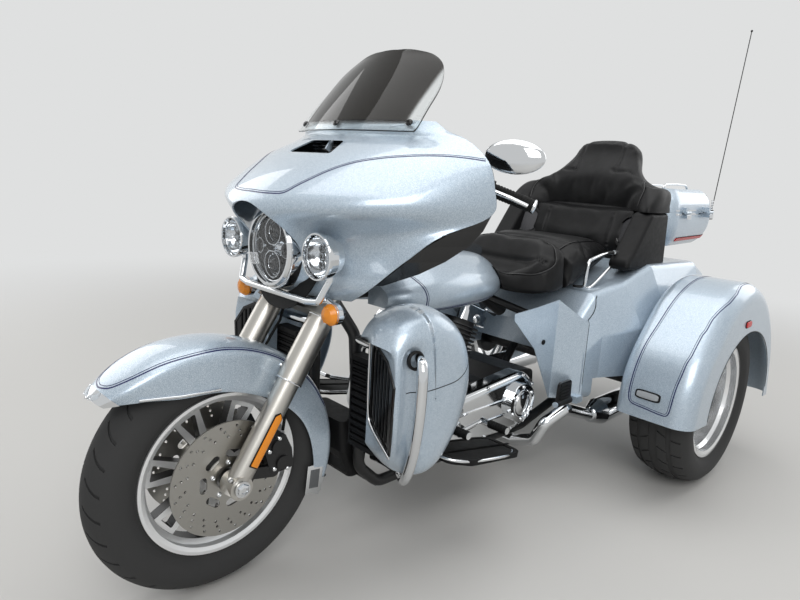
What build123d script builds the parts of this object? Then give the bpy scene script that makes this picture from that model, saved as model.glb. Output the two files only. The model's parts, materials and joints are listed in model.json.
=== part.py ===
from build123d import *
from functools import cache
from math import cos, sin, tan, radians
import os

# Motorized touring trike: one steered front wheel, two rear wheels, V-twin engine,
# handlebar fairing, trunk between the rear fenders and a top case above it.
# Millimetres. X points forward, Y to the rider's left, Z up, the floor is Z = 0.
# While it is drawn, X = 0 lies between the axles; ORIGIN_SHIFT then brings the
# middle of the overall length to the origin.

# Driving dimensions
ORIGIN_SHIFT = 64.0
FRONT_AXLE_X, FRONT_AXLE_Z = 990.0, 320.0
REAR_AXLE_X, REAR_AXLE_Z = -680.0, 325.0
REAR_TRACK_HALF = 557.0

RAKE = 26.0                 # steering axis, degrees from vertical
STEER_GROUND_X = 1090.0     # where the steering axis meets the floor
FORK_ANGLE = 32.0           # fork legs, degrees from vertical
FORK_Y = 118.0
STEM_R, STEM_BORE_R = 15.0, 15.05

FRONT_TYRE_R, FRONT_TYRE_HALF = 320.0, 65.0
FRONT_BEAD_R, FRONT_FLANGE_R, FRONT_RIM_HALF = 203.0, 213.0, 50.0
REAR_TYRE_R, REAR_TYRE_HALF = 325.0, 108.0
REAR_BEAD_R, REAR_FLANGE_R, REAR_RIM_HALF = 203.0, 216.0, 92.0
AXLE_R, AXLE_BORE_R = 12.5, 12.55
REAR_AXLE_R, REAR_AXLE_BORE_R = 20.0, 20.05

DISC_R, DISC_HOLE_R, DISC_Y, DISC_THICK = 150.0, 96.0, 77.0, 5.0
WALL = 4.0                  # moulded body panels
PANEL = 3.0                 # pressed fender
SEAT_GAP = 0.3              # between curved faces that only meet

HEADLAMP = (828.0, 0.0, 880.0)
HEADLAMP_R = 101.0
PASSING_LAMP = (821.0, 199.0, 885.0)
PASSING_LAMP_R = 57.0
SIGNAL = (777.0, 203.0, 740.0)
SIGNAL_R = 27.0

LID_SEAM_Z = 985.0
LID_HINGE = (343.0, 985.2)       # y, z
LID_HINGE_X = (-930.0, -1170.0)
DOOR_HINGE = (-1110.0, 704.0)    # x, z
DOOR_HINGE_Y = (220.0, -220.0)
KNUCKLE_R, PIN_R = 6.0, 3.0
BOARD_REAR_X, BOARD_FRONT_X, BOARD_Y, BOARD_Z, BOARD_PIN_R = -214.0, -128.0, 313.0, 330.0, 7.0


# Planes and profiles

def across(x):
    """Plane across the trike at x, drawn as (y, z)."""
    return Plane(origin=(x, 0, 0), x_dir=(0, 1, 0), z_dir=(1, 0, 0))


def along(y):
    """Plane along the trike at y, drawn as (x, z)."""
    return Plane(origin=(0, y, 0), x_dir=(1, 0, 0), z_dir=(0, -1, 0))


def level(z):
    """Level plane at z, drawn as (x, y)."""
    return Plane(origin=(0, 0, z))


def face(points, radius=0.0):
    """Closed outline with every corner rounded."""
    if radius:
        return make_face(FilletPolyline(*points, radius=radius, close=True))
    return make_face(Polyline(*points, close=True))


def both(points):
    """Outline (y, z) completed by its mirror image across y = 0."""
    return points + [(-y, z) for y, z in reversed(points)]


def skin(sections, ruled=False):
    """Loft through placed faces."""
    return loft(sections, ruled=ruled)


def eased(rows, steps):
    """Rows of numbers with in-between rows on a smooth curve through them."""
    padded = [rows[0]] + list(rows) + [rows[-1]]
    made = []
    for a, b, c, d in zip(padded, padded[1:], padded[2:], padded[3:]):
        for i in range(steps):
            t = i / steps
            made.append(tuple(0.5 * (2 * q + (r - p) * t + (2 * p - 5 * q + 4 * r - s) * t * t
                                     + (3 * q - p - 3 * r + s) * t ** 3)
                              for p, q, r, s in zip(a, b, c, d)))
    return made + [tuple(rows[-1])]


def slab(points, y0, y1, radius=0.0):
    """Side-view outline (x, z) given thickness from y0 to y1."""
    return extrude(along(y0) * face(points, radius), amount=-(y1 - y0))


def deck(points, z0, z1, radius=0.0):
    """Plan-view outline (x, y) given thickness from z0 to z1."""
    return extrude(level(z0) * face(points, radius), amount=z1 - z0)


def block(x0, x1, y0, y1, z0, z1, radius=0.0):
    """Box between limits, with its edges along Z rounded."""
    solid = Pos((x0 + x1) / 2, (y0 + y1) / 2, (z0 + z1) / 2) * Box(x1 - x0, y1 - y0, z1 - z0)
    return fillet(solid.edges().filter_by(Axis.Z), radius) if radius else solid


def rod(start, end, radius, bore=0.0):
    """Round bar or tube between two points."""
    start, end = Vector(*start), Vector(*end)
    plane = Plane(origin=start, z_dir=end - start)
    length = (end - start).length
    solid = plane * Cylinder(radius, length, align=(Align.CENTER, Align.CENTER, Align.MIN))
    if bore:
        solid -= plane * Cylinder(bore, length, align=(Align.CENTER, Align.CENTER, Align.MIN))
    return solid


def pipe(points, radius, bend, bore=0.0):
    """Round tube along a path with rounded bends."""
    path = FilletPolyline(*points, radius=bend) if len(points) > 2 else Line(*points)
    start = Plane(origin=path @ 0, z_dir=path % 0)
    solid = sweep(start * Circle(radius), path=path)
    if bore:
        solid -= sweep(start * Circle(bore), path=path)
    return solid


def turned(profile, x, y, z, outward=1):
    """Profile (radius, width) turned about an axle along Y at (x, y, z)."""
    solid = revolve(Plane.XZ * profile, Axis.Z)
    return Pos(x, y, z) * Rot(-90 * outward, 0, 0) * solid


def spun(points, place, tilt=0.0):
    """Profile (forward distance, radius) turned about a lamp axis along X."""
    solid = revolve(Plane.XY * face(points), Axis.X)
    return Pos(*place) * Rot(0, tilt, 0) * solid


def pair(solid):
    """A left piece with its right twin."""
    return Compound(children=solids_of(solid) + solids_of(mirror(solid, about=Plane.XZ)))


def solids_of(shape):
    return list(shape.solids())


def group(*shapes):
    return Compound(children=[s for shape in shapes for s in shape.solids()])


def steer_point(z, y=0.0):
    """Point of the steering axis at height z."""
    return (STEER_GROUND_X - z * tan(radians(RAKE)), y, z)


def fork_point(distance, y=FORK_Y):
    """Point of a fork leg, measured up the leg from the front axle."""
    return (FRONT_AXLE_X - distance * sin(radians(FORK_ANGLE)), y,
            FRONT_AXLE_Z + distance * cos(radians(FORK_ANGLE)))


# Wheels

def tyre_profile(r, half, bead_r, bead_half, tread_half, rise):
    """Tyre cross-section (radius, width): sidewalls, crown and hollow inside."""
    side_r = bead_r + 0.45 * (r - bead_r)
    shoulder_r = r - rise
    t = 11.0
    outer = [
        Line((bead_r, bead_half), (bead_r + 13, bead_half)),
        ThreePointArc((bead_r + 13, bead_half), (side_r, half), (shoulder_r, tread_half)),
        ThreePointArc((shoulder_r, tread_half), (r, 0), (shoulder_r, -tread_half)),
        ThreePointArc((shoulder_r, -tread_half), (side_r, -half), (bead_r + 13, -bead_half)),
        Line((bead_r + 13, -bead_half), (bead_r, -bead_half)),
        Line((bead_r, -bead_half), (bead_r, -bead_half + 12)),
        Line((bead_r, -bead_half + 12), (bead_r + 15, -bead_half + 12)),
        ThreePointArc((bead_r + 15, -bead_half + 12), (side_r, -half + t),
                      (shoulder_r - t, -tread_half + t)),
        ThreePointArc((shoulder_r - t, -tread_half + t), (r - 16, 0), (shoulder_r - t, tread_half - t)),
        ThreePointArc((shoulder_r - t, tread_half - t), (side_r, half - t),
                      (bead_r + 15, bead_half - 12)),
        Line((bead_r + 15, bead_half - 12), (bead_r, bead_half - 12)),
        Line((bead_r, bead_half - 12), (bead_r, bead_half)),
    ]
    return make_face(outer)


def front_tyre():
    profile = tyre_profile(FRONT_TYRE_R, FRONT_TYRE_HALF, FRONT_BEAD_R + SEAT_GAP,
                           FRONT_RIM_HALF - 5.3, 50.0, 24.0)
    return turned(profile, FRONT_AXLE_X, 0, FRONT_AXLE_Z)


def rear_tyre(side):
    profile = tyre_profile(REAR_TYRE_R, REAR_TYRE_HALF, REAR_BEAD_R + SEAT_GAP,
                           REAR_RIM_HALF - 5.3, 90.0, 20.0)
    return turned(profile, REAR_AXLE_X, side * REAR_TRACK_HALF, REAR_AXLE_Z, side)


def split_spoke(inner_r, outer_r, spread, waist, z0, z1):
    """Two bars that leave the hub together and part towards the rim, in the wheel plane."""
    half = waist / 2
    outer = [(inner_r, -half - 6), (outer_r, -spread - 11), (outer_r, spread + 11), (inner_r, half + 6)]
    pocket = [(inner_r + 34, 0.0), (outer_r - 14, -spread + 5), (outer_r - 14, spread - 5)]
    sketch = face(outer) - face(pocket, 4.0)
    return Pos(0, 0, z0) * extrude(sketch, amount=z1 - z0)


def front_rim():
    h, r, b = FRONT_RIM_HALF, FRONT_FLANGE_R, FRONT_BEAD_R
    half = [(r, h - 5), (b, h - 5), (b, h - 25), (b - 14, h - 33)]
    inside = [(b - 20, h - 30), (b - 8, h - 22), (b - 8, h - 4), (b + 2, h), (r, h)]
    profile = face(half + [(x, -y) for x, y in reversed(half)]
                   + [(x, -y) for x, y in reversed(inside)] + inside)
    rim = revolve(Plane.XZ * profile, Axis.Z)
    hub = Cylinder(42, 112) + Pos(0, 0, 0) * Cylinder(58, 40)
    spoke = split_spoke(50, FRONT_BEAD_R - 18, 26, 20, -16, 16)
    rim += hub
    for i in range(7):
        rim += Rot(0, 0, i * 360 / 7 + 90) * spoke
    rim -= Cylinder(AXLE_BORE_R, 200)
    return Pos(FRONT_AXLE_X, 0, FRONT_AXLE_Z) * Rot(-90, 0, 0) * rim


def front_discs():
    plate = Circle(DISC_R) - Circle(DISC_HOLE_R - 8)
    for ring, r in enumerate((112.0, 125.0, 138.0)):
        plate -= Rot(0, 0, 4 * ring) * PolarLocations(r, 20) * Circle(3.6)
    disc = extrude(plate, amount=DISC_THICK)
    spider = Circle(DISC_HOLE_R - 8.0) - Circle(30)
    for i in range(7):
        slot = Rot(0, 0, i * 360 / 7) * SlotCenterToCenter(24, 17)
        spider -= Rot(0, 0, i * 360 / 7) * Pos(66, 0) * Rot(0, 0, 90) * SlotCenterToCenter(22, 20)
    disc += extrude(spider, amount=DISC_THICK)
    seat = DISC_Y - DISC_THICK / 2 - 56
    disc += Pos(0, 0, -seat) * (Cylinder(45, seat, align=(Align.CENTER, Align.CENTER, Align.MIN))
                                - Cylinder(30, seat, align=(Align.CENTER, Align.CENTER, Align.MIN)))
    left = Pos(FRONT_AXLE_X, DISC_Y - DISC_THICK / 2, FRONT_AXLE_Z) * Rot(-90, 0, 0) * disc
    return pair(left)


def rear_rim(side):
    """Deep-dished rim: the spokes stand well inside the outer lip."""
    h, r, b = REAR_RIM_HALF, REAR_FLANGE_R, REAR_BEAD_R
    outer = [(r, h - 5), (b, h - 5), (b, h - 24), (b - 9, h - 34), (b - 9, 24 - h), (b, 24 - h),
             (b, 5 - h), (r, 5 - h), (r, -h), (b + 3, -h), (b - 8, 5 - h), (b - 8, 20 - h),
             (b - 16, 30 - h), (b - 16, h - 38), (b - 8, h - 26), (b - 8, h - 4), (b + 3, h), (r, h)]
    rim = revolve(Plane.XZ * face(outer), Axis.Z)
    rim += Pos(0, 0, -58) * Cylinder(70, 34, align=(Align.CENTER, Align.CENTER, Align.MIN))
    rim += Pos(0, 0, -24) * Cylinder(38, 20, align=(Align.CENTER, Align.CENTER, Align.MIN))
    spoke = split_spoke(50, REAR_BEAD_R - 13, 30, 30, -46, -20)
    for i in range(7):
        rim += Rot(0, 0, i * 360 / 7 + 90) * spoke
    rim -= Cylinder(REAR_AXLE_BORE_R, 300)
    return Pos(REAR_AXLE_X, side * REAR_TRACK_HALF, REAR_AXLE_Z) * Rot(-90 * side, 0, 0) * rim


# Fork and steering

AXLE_END_Y = 150.0
FORK_LEG_R, FORK_TUBE_R, FORK_COVER_R = 29.0, 24.5, 34.0
LEG_TOP, COVER_TOP, FORK_TOP = 278.0, 462.0, 700.0


def fork_legs():
    """Stanchions in their sliders, with the axle lugs and the fender's stays."""
    leg = rod(fork_point(-26), fork_point(LEG_TOP), FORK_LEG_R)
    leg += rod(fork_point(LEG_TOP), fork_point(FORK_TOP), FORK_TUBE_R)
    leg += rod((FRONT_AXLE_X, 92, FRONT_AXLE_Z), (FRONT_AXLE_X, AXLE_END_Y - 4, FRONT_AXLE_Z), 30)
    for distance in (228, 262):
        x, _, z = fork_point(distance)
        leg += rod((x, 70, z), (x, 100, z), 11)
    leg -= rod((FRONT_AXLE_X, 80, FRONT_AXLE_Z), (FRONT_AXLE_X, 160, FRONT_AXLE_Z), AXLE_BORE_R)
    return pair(leg - fender_space())


def front_axle():
    shaft = rod((FRONT_AXLE_X, -AXLE_END_Y, FRONT_AXLE_Z), (FRONT_AXLE_X, AXLE_END_Y, FRONT_AXLE_Z), AXLE_R)
    for side in (1, -1):
        shaft += rod((FRONT_AXLE_X, side * (AXLE_END_Y - 2.5), FRONT_AXLE_Z),
                     (FRONT_AXLE_X, side * (AXLE_END_Y + 2), FRONT_AXLE_Z), 20)
        shaft += rod((FRONT_AXLE_X, side * 57, FRONT_AXLE_Z), (FRONT_AXLE_X, side * 88.0, FRONT_AXLE_Z), 22)
    return shaft


def clamp_plate(distance, thick, half_y):
    """Triple clamp: a plate square to the fork, holding both tubes and the stem."""
    x, _, z = fork_point(distance, 0)
    plane = Plane(origin=(x, 0, z), x_dir=(0, 1, 0), z_dir=(-sin(radians(FORK_ANGLE)), 0, cos(radians(FORK_ANGLE))))
    outline = [(-half_y, -30), (-60, -50), (60, -50), (half_y, -30), (half_y, 24), (100, 34), (-100, 34), (-half_y, 24)]
    plate = extrude(plane * face(outline, 10), amount=thick)
    for y in (FORK_Y, -FORK_Y):
        plate -= rod(fork_point(distance - 60, y), fork_point(distance + 80, y), FORK_TUBE_R + SEAT_GAP)
    return plate


@cache
def fork_crown():
    lower = clamp_plate(COVER_TOP + 1, 28, 157)
    upper = clamp_plate(FORK_TOP - 30, 26, 146)
    stem = rod(steer_point(722), steer_point(925), STEM_R)
    crown = lower + upper + stem
    for side in (1, -1):
        crown += rod(fork_point(LEG_TOP + 0.5, side * FORK_Y), fork_point(COVER_TOP + 1, side * FORK_Y), FORK_COVER_R,
                     FORK_TUBE_R + SEAT_GAP)
        crown += pipe([(660, side * 45, 905), (586, side * 45, 1030), (540, side * 45, 1052)], 8, 20)
    return crown


# Front fender: sections in planes through the front axle

FENDER_RINGS = [
    # angle, half width, skirt radius, shoulder radius, top radius
    (41.0, 44.0, 366.0, 374.0, 387.0),
    (50.0, 76.0, 322.0, 358.0, 383.0),
    (64.0, 88.0, 266.0, 342.0, 374.0),
    (84.0, 88.0, 236.0, 326.0, 356.0),
    (108.0, 82.0, 218.0, 312.0, 342.0),
    (132.0, 82.0, 222.0, 308.0, 340.0),
    (158.0, 84.0, 240.0, 308.0, 340.0),
    (184.0, 84.0, 258.0, 308.0, 339.0),
    (207.0, 74.0, 290.0, 312.0, 337.0),
]


def wheel_ray(angle):
    """Plane through the front axle at an angle, drawn as (y, distance from the axle)."""
    a = radians(angle)
    return Plane(origin=(FRONT_AXLE_X, 0, FRONT_AXLE_Z), x_dir=(0, 1, 0), z_dir=(sin(a), 0, -cos(a)))


def fender_ring(angle, half, skirt, shoulder, top):
    """Thin arch-shaped section: outer line over the top, inner line back."""
    def arch(h, sh, tp):
        crown, lift = 0.55 * h, sh + 0.82 * (tp - sh)
        bulge = (0.84 * h, sh + 0.55 * (tp - sh))
        return [(-h, skirt), (-h, sh), (-bulge[0], bulge[1]), (-crown, lift), (0, tp), (crown, lift), bulge,
                (h, sh), (h, skirt)]
    o = arch(half, shoulder, top)
    i = arch(half - PANEL, shoulder - PANEL, top - PANEL)
    outline = []
    for a in (o, i[::-1]):
        outline += [Line(a[0], a[1]), ThreePointArc(a[1], a[2], a[3]), ThreePointArc(a[3], a[4], a[5]),
                    ThreePointArc(a[5], a[6], a[7]), Line(a[7], a[8])]
    outline += [Line(o[-1], i[-1]), Line(i[0], o[0])]
    return wheel_ray(angle) * make_face(outline)


@cache
def front_fender():
    return skin([fender_ring(*ring) for ring in eased(FENDER_RINGS, 2)], ruled=True)


@cache
def fender_space():
    """The fender with the room under it, drawn solid."""
    made = []
    for angle, half, _, shoulder, top in eased(FENDER_RINGS, 2):
        arc = [Line((-half, 180), (-half, shoulder)),
               ThreePointArc((-half, shoulder), (-0.84 * half, shoulder + 0.55 * (top - shoulder)),
                             (-0.55 * half, shoulder + 0.82 * (top - shoulder))),
               ThreePointArc((-0.55 * half, shoulder + 0.82 * (top - shoulder)), (0, top),
                             (0.55 * half, shoulder + 0.82 * (top - shoulder))),
               ThreePointArc((0.55 * half, shoulder + 0.82 * (top - shoulder)),
                             (0.84 * half, shoulder + 0.55 * (top - shoulder)), (half, shoulder)),
               Line((half, shoulder), (half, 180)), Line((half, 180), (-half, 180))]
        made.append(wheel_ray(angle) * make_face(arc))
    return skin(made, ruled=True)


def fender_cap(first, last, proud):
    """Bright shell over the fender between two of its rings."""
    rings = [ring for ring in eased(FENDER_RINGS, 2)][first:last]
    return skin([fender_ring(a, half + proud, skirt, shoulder + proud, top + proud)
                 for a, half, skirt, shoulder, top in rings], ruled=True)


def fender_trim():
    """Bright rail along the fender's lower front edge, with a lamp cap at its tip and a frame at its tail."""
    points = []
    for angle, half, skirt, *_ in FENDER_RINGS[1:4]:
        a = radians(angle)
        points.append((FRONT_AXLE_X + (skirt + 9) * cos(a), half + 4.0, FRONT_AXLE_Z + (skirt + 9) * sin(a)))
    rail = pair(pipe(points, 3.5, 60) - front_fender())
    cap, tail = fender_cap(0, 2, PANEL), fender_cap(15, 17, PANEL)
    return group(rail, cap - front_fender(), tail - front_fender())


# Brakes

def caliper_lug(radius, angle, distance):
    """Plate from the caliper's back to the fork leg."""
    a = radians(angle)
    start = (FRONT_AXLE_X + radius * cos(a), FRONT_AXLE_Z + radius * sin(a), 15)
    x, _, z = fork_point(distance)
    return hull_plate([start, (x, z, 15)], 98, 111)


@cache
def brake_calipers():
    """Four-piston caliper astride each disc, on two lugs of the fork leg."""
    def outline(r0, r1, a0, a1):
        return [(r * cos(radians(a)), r * sin(radians(a))) for r, a in
                ((r0, a0), (r1, a0 + 4), (r1, 0.5 * (a0 + a1)), (r1, a1 - 4), (r0, a1))]
    at_axle = Pos(FRONT_AXLE_X, 0, FRONT_AXLE_Z)
    body = at_axle * slab(outline(104, 172, 142, 186), 58, 112, 9)
    body -= rod((FRONT_AXLE_X, DISC_Y - 5.5, FRONT_AXLE_Z), (FRONT_AXLE_X, DISC_Y + 5.5, FRONT_AXLE_Z), DISC_R + 3)
    for angle in (153, 174):
        a = radians(angle)
        x, z = FRONT_AXLE_X + 138 * cos(a), FRONT_AXLE_Z + 138 * sin(a)
        body += rod((x, 110, z), (x, 117, z), 19)
    body += caliper_lug(132, 148, 112) + caliper_lug(112, 182, 20)
    body -= rod(fork_point(-40), fork_point(300), FORK_LEG_R)
    body -= rod((FRONT_AXLE_X, 80, FRONT_AXLE_Z), (FRONT_AXLE_X, 160, FRONT_AXLE_Z), 30)
    return pair(body.solids().sort_by(SortBy.VOLUME)[-1])


def brake_lines():
    """Hoses from each caliper up beside the fork leg to the lower clamp."""
    route = [(846, 100, 418), (838, 100, 470), (822, 98, 520), (768, 96, 604), (733, 92, 660), (722, 88, 712)]
    return pair((pipe(route, 4.0, 24) - brake_calipers() - fork_crown()).solids().sort_by(SortBy.VOLUME)[-1])


# Fairing: sections at level planes, nose to the front

FAIRING_LEVELS = [
    # z, rear x, half width, corner x, corner y, side x, side y, nose x
    (766.0, 707.0, 190.0, 750.0, 98.0, 738.0, 146.0, 768.0),
    (812.0, 700.0, 262.0, 782.0, 104.0, 736.0, 190.0, 810.0),
    (880.0, 664.0, 330.0, 800.0, 112.0, 706.0, 214.0, 842.0),
    (944.0, 612.0, 388.0, 838.0, 126.0, 716.0, 250.0, 892.0),
    (1000.0, 490.0, 440.0, 864.0, 156.0, 742.0, 338.0, 904.0),
    (1060.0, 500.0, 450.0, 800.0, 176.0, 690.0, 348.0, 832.0),
    (1122.0, 505.0, 432.0, 700.0, 190.0, 610.0, 334.0, 724.0),
    (1172.0, 486.0, 346.0, 600.0, 160.0, 540.0, 280.0, 634.0),
    (1194.0, 490.0, 280.0, 604.0, 130.0, 560.0, 232.0, 624.0),
    (1216.0, 503.0, 250.0, 586.0, 128.0, 541.0, 224.0, 604.0),
]


def fairing_line(row, inset):
    """Front line of a level section: side sweep, nose and side sweep."""
    z, rear, half, cx, cy, sx, sy, nose = row
    rear_left, corner = (rear, half - inset), (cx - inset, cy - inset / 2)
    side = (sx - inset, sy - inset)
    return [ThreePointArc(rear_left, side, corner),
            ThreePointArc(corner, (nose - inset, 0), (corner[0], -corner[1])),
            ThreePointArc((corner[0], -corner[1]), (side[0], -side[1]), (rear, inset - half))]


def fairing_wall(row):
    """Thin section of the fairing at one level, open to the rear."""
    outer, inner = fairing_line(row, 0.0), fairing_line(row, WALL)
    edges = outer + inner + [Line(outer[0] @ 0, inner[0] @ 0), Line(outer[2] @ 1, inner[2] @ 1)]
    return level(row[0]) * make_face(edges)


@cache
def fairing_inside(inset):
    """Space inside the fairing, drawn solid."""
    made = []
    for row in eased(FAIRING_LEVELS, 2):
        line = fairing_line(row, inset)
        made.append(level(row[0]) * make_face(line + [Line(line[2] @ 1, line[0] @ 0)]))
    return skin(made, ruled=True)


@cache
def fairing_outer():
    shell = skin([fairing_wall(row) for row in eased(FAIRING_LEVELS, 2)], ruled=True)
    lamp_x = HEADLAMP[0]
    opening = rod((lamp_x - 100, 0, HEADLAMP[2]), (lamp_x + 140, 0, HEADLAMP[2]), HEADLAMP_R)
    nacelle = rod((lamp_x - 88, 0, HEADLAMP[2]), (lamp_x - 17, 0, HEADLAMP[2]), HEADLAMP_R + WALL)
    shell = shell + nacelle - opening
    vent = [(-92, 1128), (92, 1128), (72, 1160), (-72, 1160)]
    shell -= extrude(across(560) * face(vent, 10), amount=220)
    return (shell - windscreen()).solids().sort_by(SortBy.VOLUME)[-1]


def fairing_inner():
    """Instrument panel behind the fairing, with recessed dials and speakers."""
    frame = Pos(530, 0, 1100) * Rot(0, 12, 0)
    panel = frame * Box(60, 1000, 176)
    panel = (panel & fairing_inside(WALL + 0.6)) - fork_crown()
    for y, z, r in ((240, -6, 56), (-240, -6, 56), (128, 22, 38), (-128, 22, 38), (64, 52, 22), (-64, 52, 22)):
        panel -= frame * Pos(-30, y, z) * Rot(0, 90, 0) * Cylinder(r, 30)
    panel -= frame * Pos(-30, 0, -16) * Box(24, 150, 74)
    return panel


# Windscreen

@cache
def windscreen():
    """Curved smoked screen, cut to its front-view outline."""
    rows = [(1186.0, 641.0, 575.0, 250.0), (1300.0, 545.0, 474.0, 240.0), (1424.0, 441.0, 372.0, 222.0)]

    def row(z, mid, side, half, back):
        arc = [ThreePointArc((side, -half), (mid, 0), (side, half)),
               Line((side, half), (side - back, half)),
               ThreePointArc((side - back, half), (mid - back, 0), (side - back, -half)),
               Line((side - back, -half), (side, -half))]
        return level(z) * make_face(arc)
    sheet = skin([row(*r, back=WALL + 1) for r in rows])
    front = [(0, 1190), (150, 1192), (246, 1202), (237, 1300), (202, 1366), (120, 1408), (0, 1418)]
    outline = front + [(-y, z) for y, z in reversed(front[1:-1])]
    sheet &= extrude(across(300) * face(outline, 24.0), amount=500)
    return sheet


DEFLECTOR_ROWS = [
    # z, front x, front y, rear x, rear y
    (998.0, 496.0, 438.0, 480.0, 433.0),
    (960.0, 578.0, 403.0, 488.0, 418.0),
    (920.0, 634.0, 366.0, 512.0, 396.0),
    (880.0, 664.0, 329.0, 556.0, 362.0),
    (846.0, 683.0, 294.0, 606.0, 322.0),
    (814.0, 699.0, 261.0, 676.0, 270.0),
]


def wind_deflectors():
    """Smoked blades that hang from the fairing's rear edges."""
    def row(z, fx, fy, rx, ry):
        return level(z) * face([(fx, fy), (rx, ry), (rx, ry - WALL), (fx, fy - WALL)])
    blade = skin([row(*r) for r in DEFLECTOR_ROWS], ruled=True) - fairing_outer()
    return pair(blade.solids().sort_by(SortBy.VOLUME)[-1])


# Lamps at the front

def headlamp_bucket():
    """Bright ring with the bowl behind it."""
    r = HEADLAMP_R
    ring = [(-88, 0), (-88, 60), (-54, r - 6), (-14, r), (2, r), (8, r - 5), (8, r - 12), (-10, r - 14),
            (-52, r - 18), (-76, 52), (-76, 0)]
    return spun(ring, HEADLAMP)


def headlamp_modules():
    """Two projector modules and two side reflectors on a black carrier."""
    x, y, z = HEADLAMP
    carrier = spun([(-50, 0), (-50, HEADLAMP_R - 18), (-34, HEADLAMP_R - 16.6), (-34, 0)], HEADLAMP)
    for dy, dz, r in ((0, 42, 34), (0, -42, 34), (58, 0, 19), (-58, 0, 19)):
        carrier += rod((x - 36, dy, z + dz), (x - 14, dy, z + dz), r, r - 5)
        carrier += Pos(x - 34, dy, z + dz) * (Sphere(r - 9) & Pos(r, 0, 0) * Box(2 * r, 2 * r, 2 * r))
    return carrier


def headlamp_lens():
    r = HEADLAMP_R - 13.9
    return spun([(-9, 0), (-9, r), (-3, r), (6, 0)], HEADLAMP)


def passing_lamp_shell():
    r = PASSING_LAMP_R
    shell = [(-66, 0), (-62, 24), (-46, 42), (-20, r - 3), (0, r), (7, r), (7, r - 5), (-8, r - 6), (-42, 36), (-54, 0)]
    return spun(shell, PASSING_LAMP)


def passing_lamp_lens():
    r = PASSING_LAMP_R
    return pair(spun([(-6, 0), (-6, r - 7.0), (0, r - 7.0), (5, 0)], PASSING_LAMP))


def front_signals():
    x, y, z = SIGNAL
    r = SIGNAL_R
    lens = spun([(0, 0), (0, r), (8, r), (20, r * 0.7), (26, 0)], SIGNAL)
    return pair(lens)


def lamp_bar():
    """Bright bar in front of the fork that carries the passing lamps and the signals."""
    x, y, z = SIGNAL
    px, py, pz = PASSING_LAMP
    bar_x, bar_z = 809.0, 764.0
    cup = spun([(-34, 0), (-30, 14), (-14, SIGNAL_R), (-0.2, SIGNAL_R), (-0.2, 0)], SIGNAL)
    arm = pipe([(bar_x, 140, bar_z), (bar_x - 4, 182, bar_z + 6), (px - 36, py, pz - 62), (px - 36, py, pz - 48)], 9, 10)
    stem = pipe([(x - 24, y - 8, z + 10), (x - 22, 152, bar_z), (bar_x, 128, bar_z)], 8, 12)
    left = cup + arm + stem + passing_lamp_shell()
    bar = rod((bar_x, -141, bar_z), (bar_x, 141, bar_z), 9)
    bar = bar + left + mirror(left, about=Plane.XZ)
    for side in (50, -50):
        bar += rod((bar_x - 40, side, bar_z - 8), (bar_x, side, bar_z), 7)
    return bar - fork_crown()


# Handlebar

GRIP_END, GRIP_START = (293.0, 423.0, 1020.0), (351.0, 330.0, 1056.0)
BAR_R, GRIP_R = 12.7, 18.0


def along_grip(distance, offset=(0, 0, 0)):
    """Point on the left bar end's line, measured inboard from the grip's inner end."""
    a, b = Vector(*GRIP_START), Vector(*GRIP_END)
    return tuple(a + (a - b).normalized() * distance + Vector(*offset))


@cache
def controls_left():
    """Switch housing with the fluid reservoir in front of it."""
    housing = rod(along_grip(0.5), along_grip(42), 25, BAR_R + SEAT_GAP)
    place = Plane(origin=along_grip(0, (34, 0, 12)), z_dir=Vector(*along_grip(1)) - Vector(*along_grip(0)))
    return housing + (place * Box(44, 36, 38) - rod(along_grip(-20), along_grip(78), 24.9))


def handlebar():
    """Bright bar, risers and levers."""
    left = [(598, 70, 968), (500, 165, 990), along_grip(80), GRIP_END]
    right = [(x, -y, z) for x, y, z in reversed(left)]
    bar = pipe(right + left, BAR_R, 26)
    for y in (48, -48):
        bar += rod((612, y, 918), (598, y, 968), 16)
    fore = (58, 22, 6)
    lever = pipe([along_grip(22, (52, 4, 12)), along_grip(-14, fore), along_grip(-70, fore), along_grip(-118, (52, 14, 4))],
                 5.5, 14)
    lever -= controls_left()
    return group(bar - fork_crown(), lever, mirror(lever, about=Plane.XZ))


def grips():
    """Rubber grips with the switch housings beside them."""
    grip = rod(along_grip(0), GRIP_END, GRIP_R, BAR_R + SEAT_GAP)
    return pair(grip + controls_left())


def mirrors():
    stem = pipe([along_grip(21, (30, 0, 31.5)), along_grip(0, (36, 10, 66)), (414, 424, 1130)], 6, 12)
    place = Pos(418, 440, 1142) * Rot(0, -6, 24)
    shell = place * scale(Sphere(40), (0.55, 1.9, 1.05))
    shell &= place * Pos(50, 0, 0) * Box(100, 200, 200)
    return pair((stem + shell) - controls_left())


# Frame, engine and drive

def neck_space():
    return rod(steer_point(700), steer_point(950), STEM_BORE_R)


@cache
def frame_cradle():
    neck = rod(steer_point(780), steer_point(870), 27)
    backbone = pipe([(676, 0, 826), (560, 0, 742), (60, 0, 742), (-180, 0, 600)], 26, 60)
    tubes = neck + backbone
    rail = pipe([(688, 20, 800), (610, 92, 640), (590, 112, 240), (520, 118, 172), (-200, 128, 172),
                 (-420, 150, 250), (-560, 160, 420)], 17, 60)
    top = pipe([(-70, 10, 664), (-240, 130, 585), (-560, 160, 420)], 14, 60)
    for side in (rail, top):
        tubes += side
        tubes += mirror(side, about=Plane.XZ)
    tubes += rod((520, -118, 172), (520, 118, 172), 14) + rod((-200, -128, 172), (-200, 128, 172), 14)
    return tubes - neck_space()


GUARD_PATH = [(604, 92, 628), (622, 240, 630), (664, 408, 656), (668, 418, 560), (648, 366, 345), (592, 112, 250)]
GUARD_R = 16.0


def engine_guard():
    """Bright bar from the frame out through each lower fairing and down to the lower rail."""
    left = pipe(GUARD_PATH, GUARD_R, 40) - frame_cradle()
    return pair(left.solids().sort_by(SortBy.VOLUME)[-1])


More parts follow.
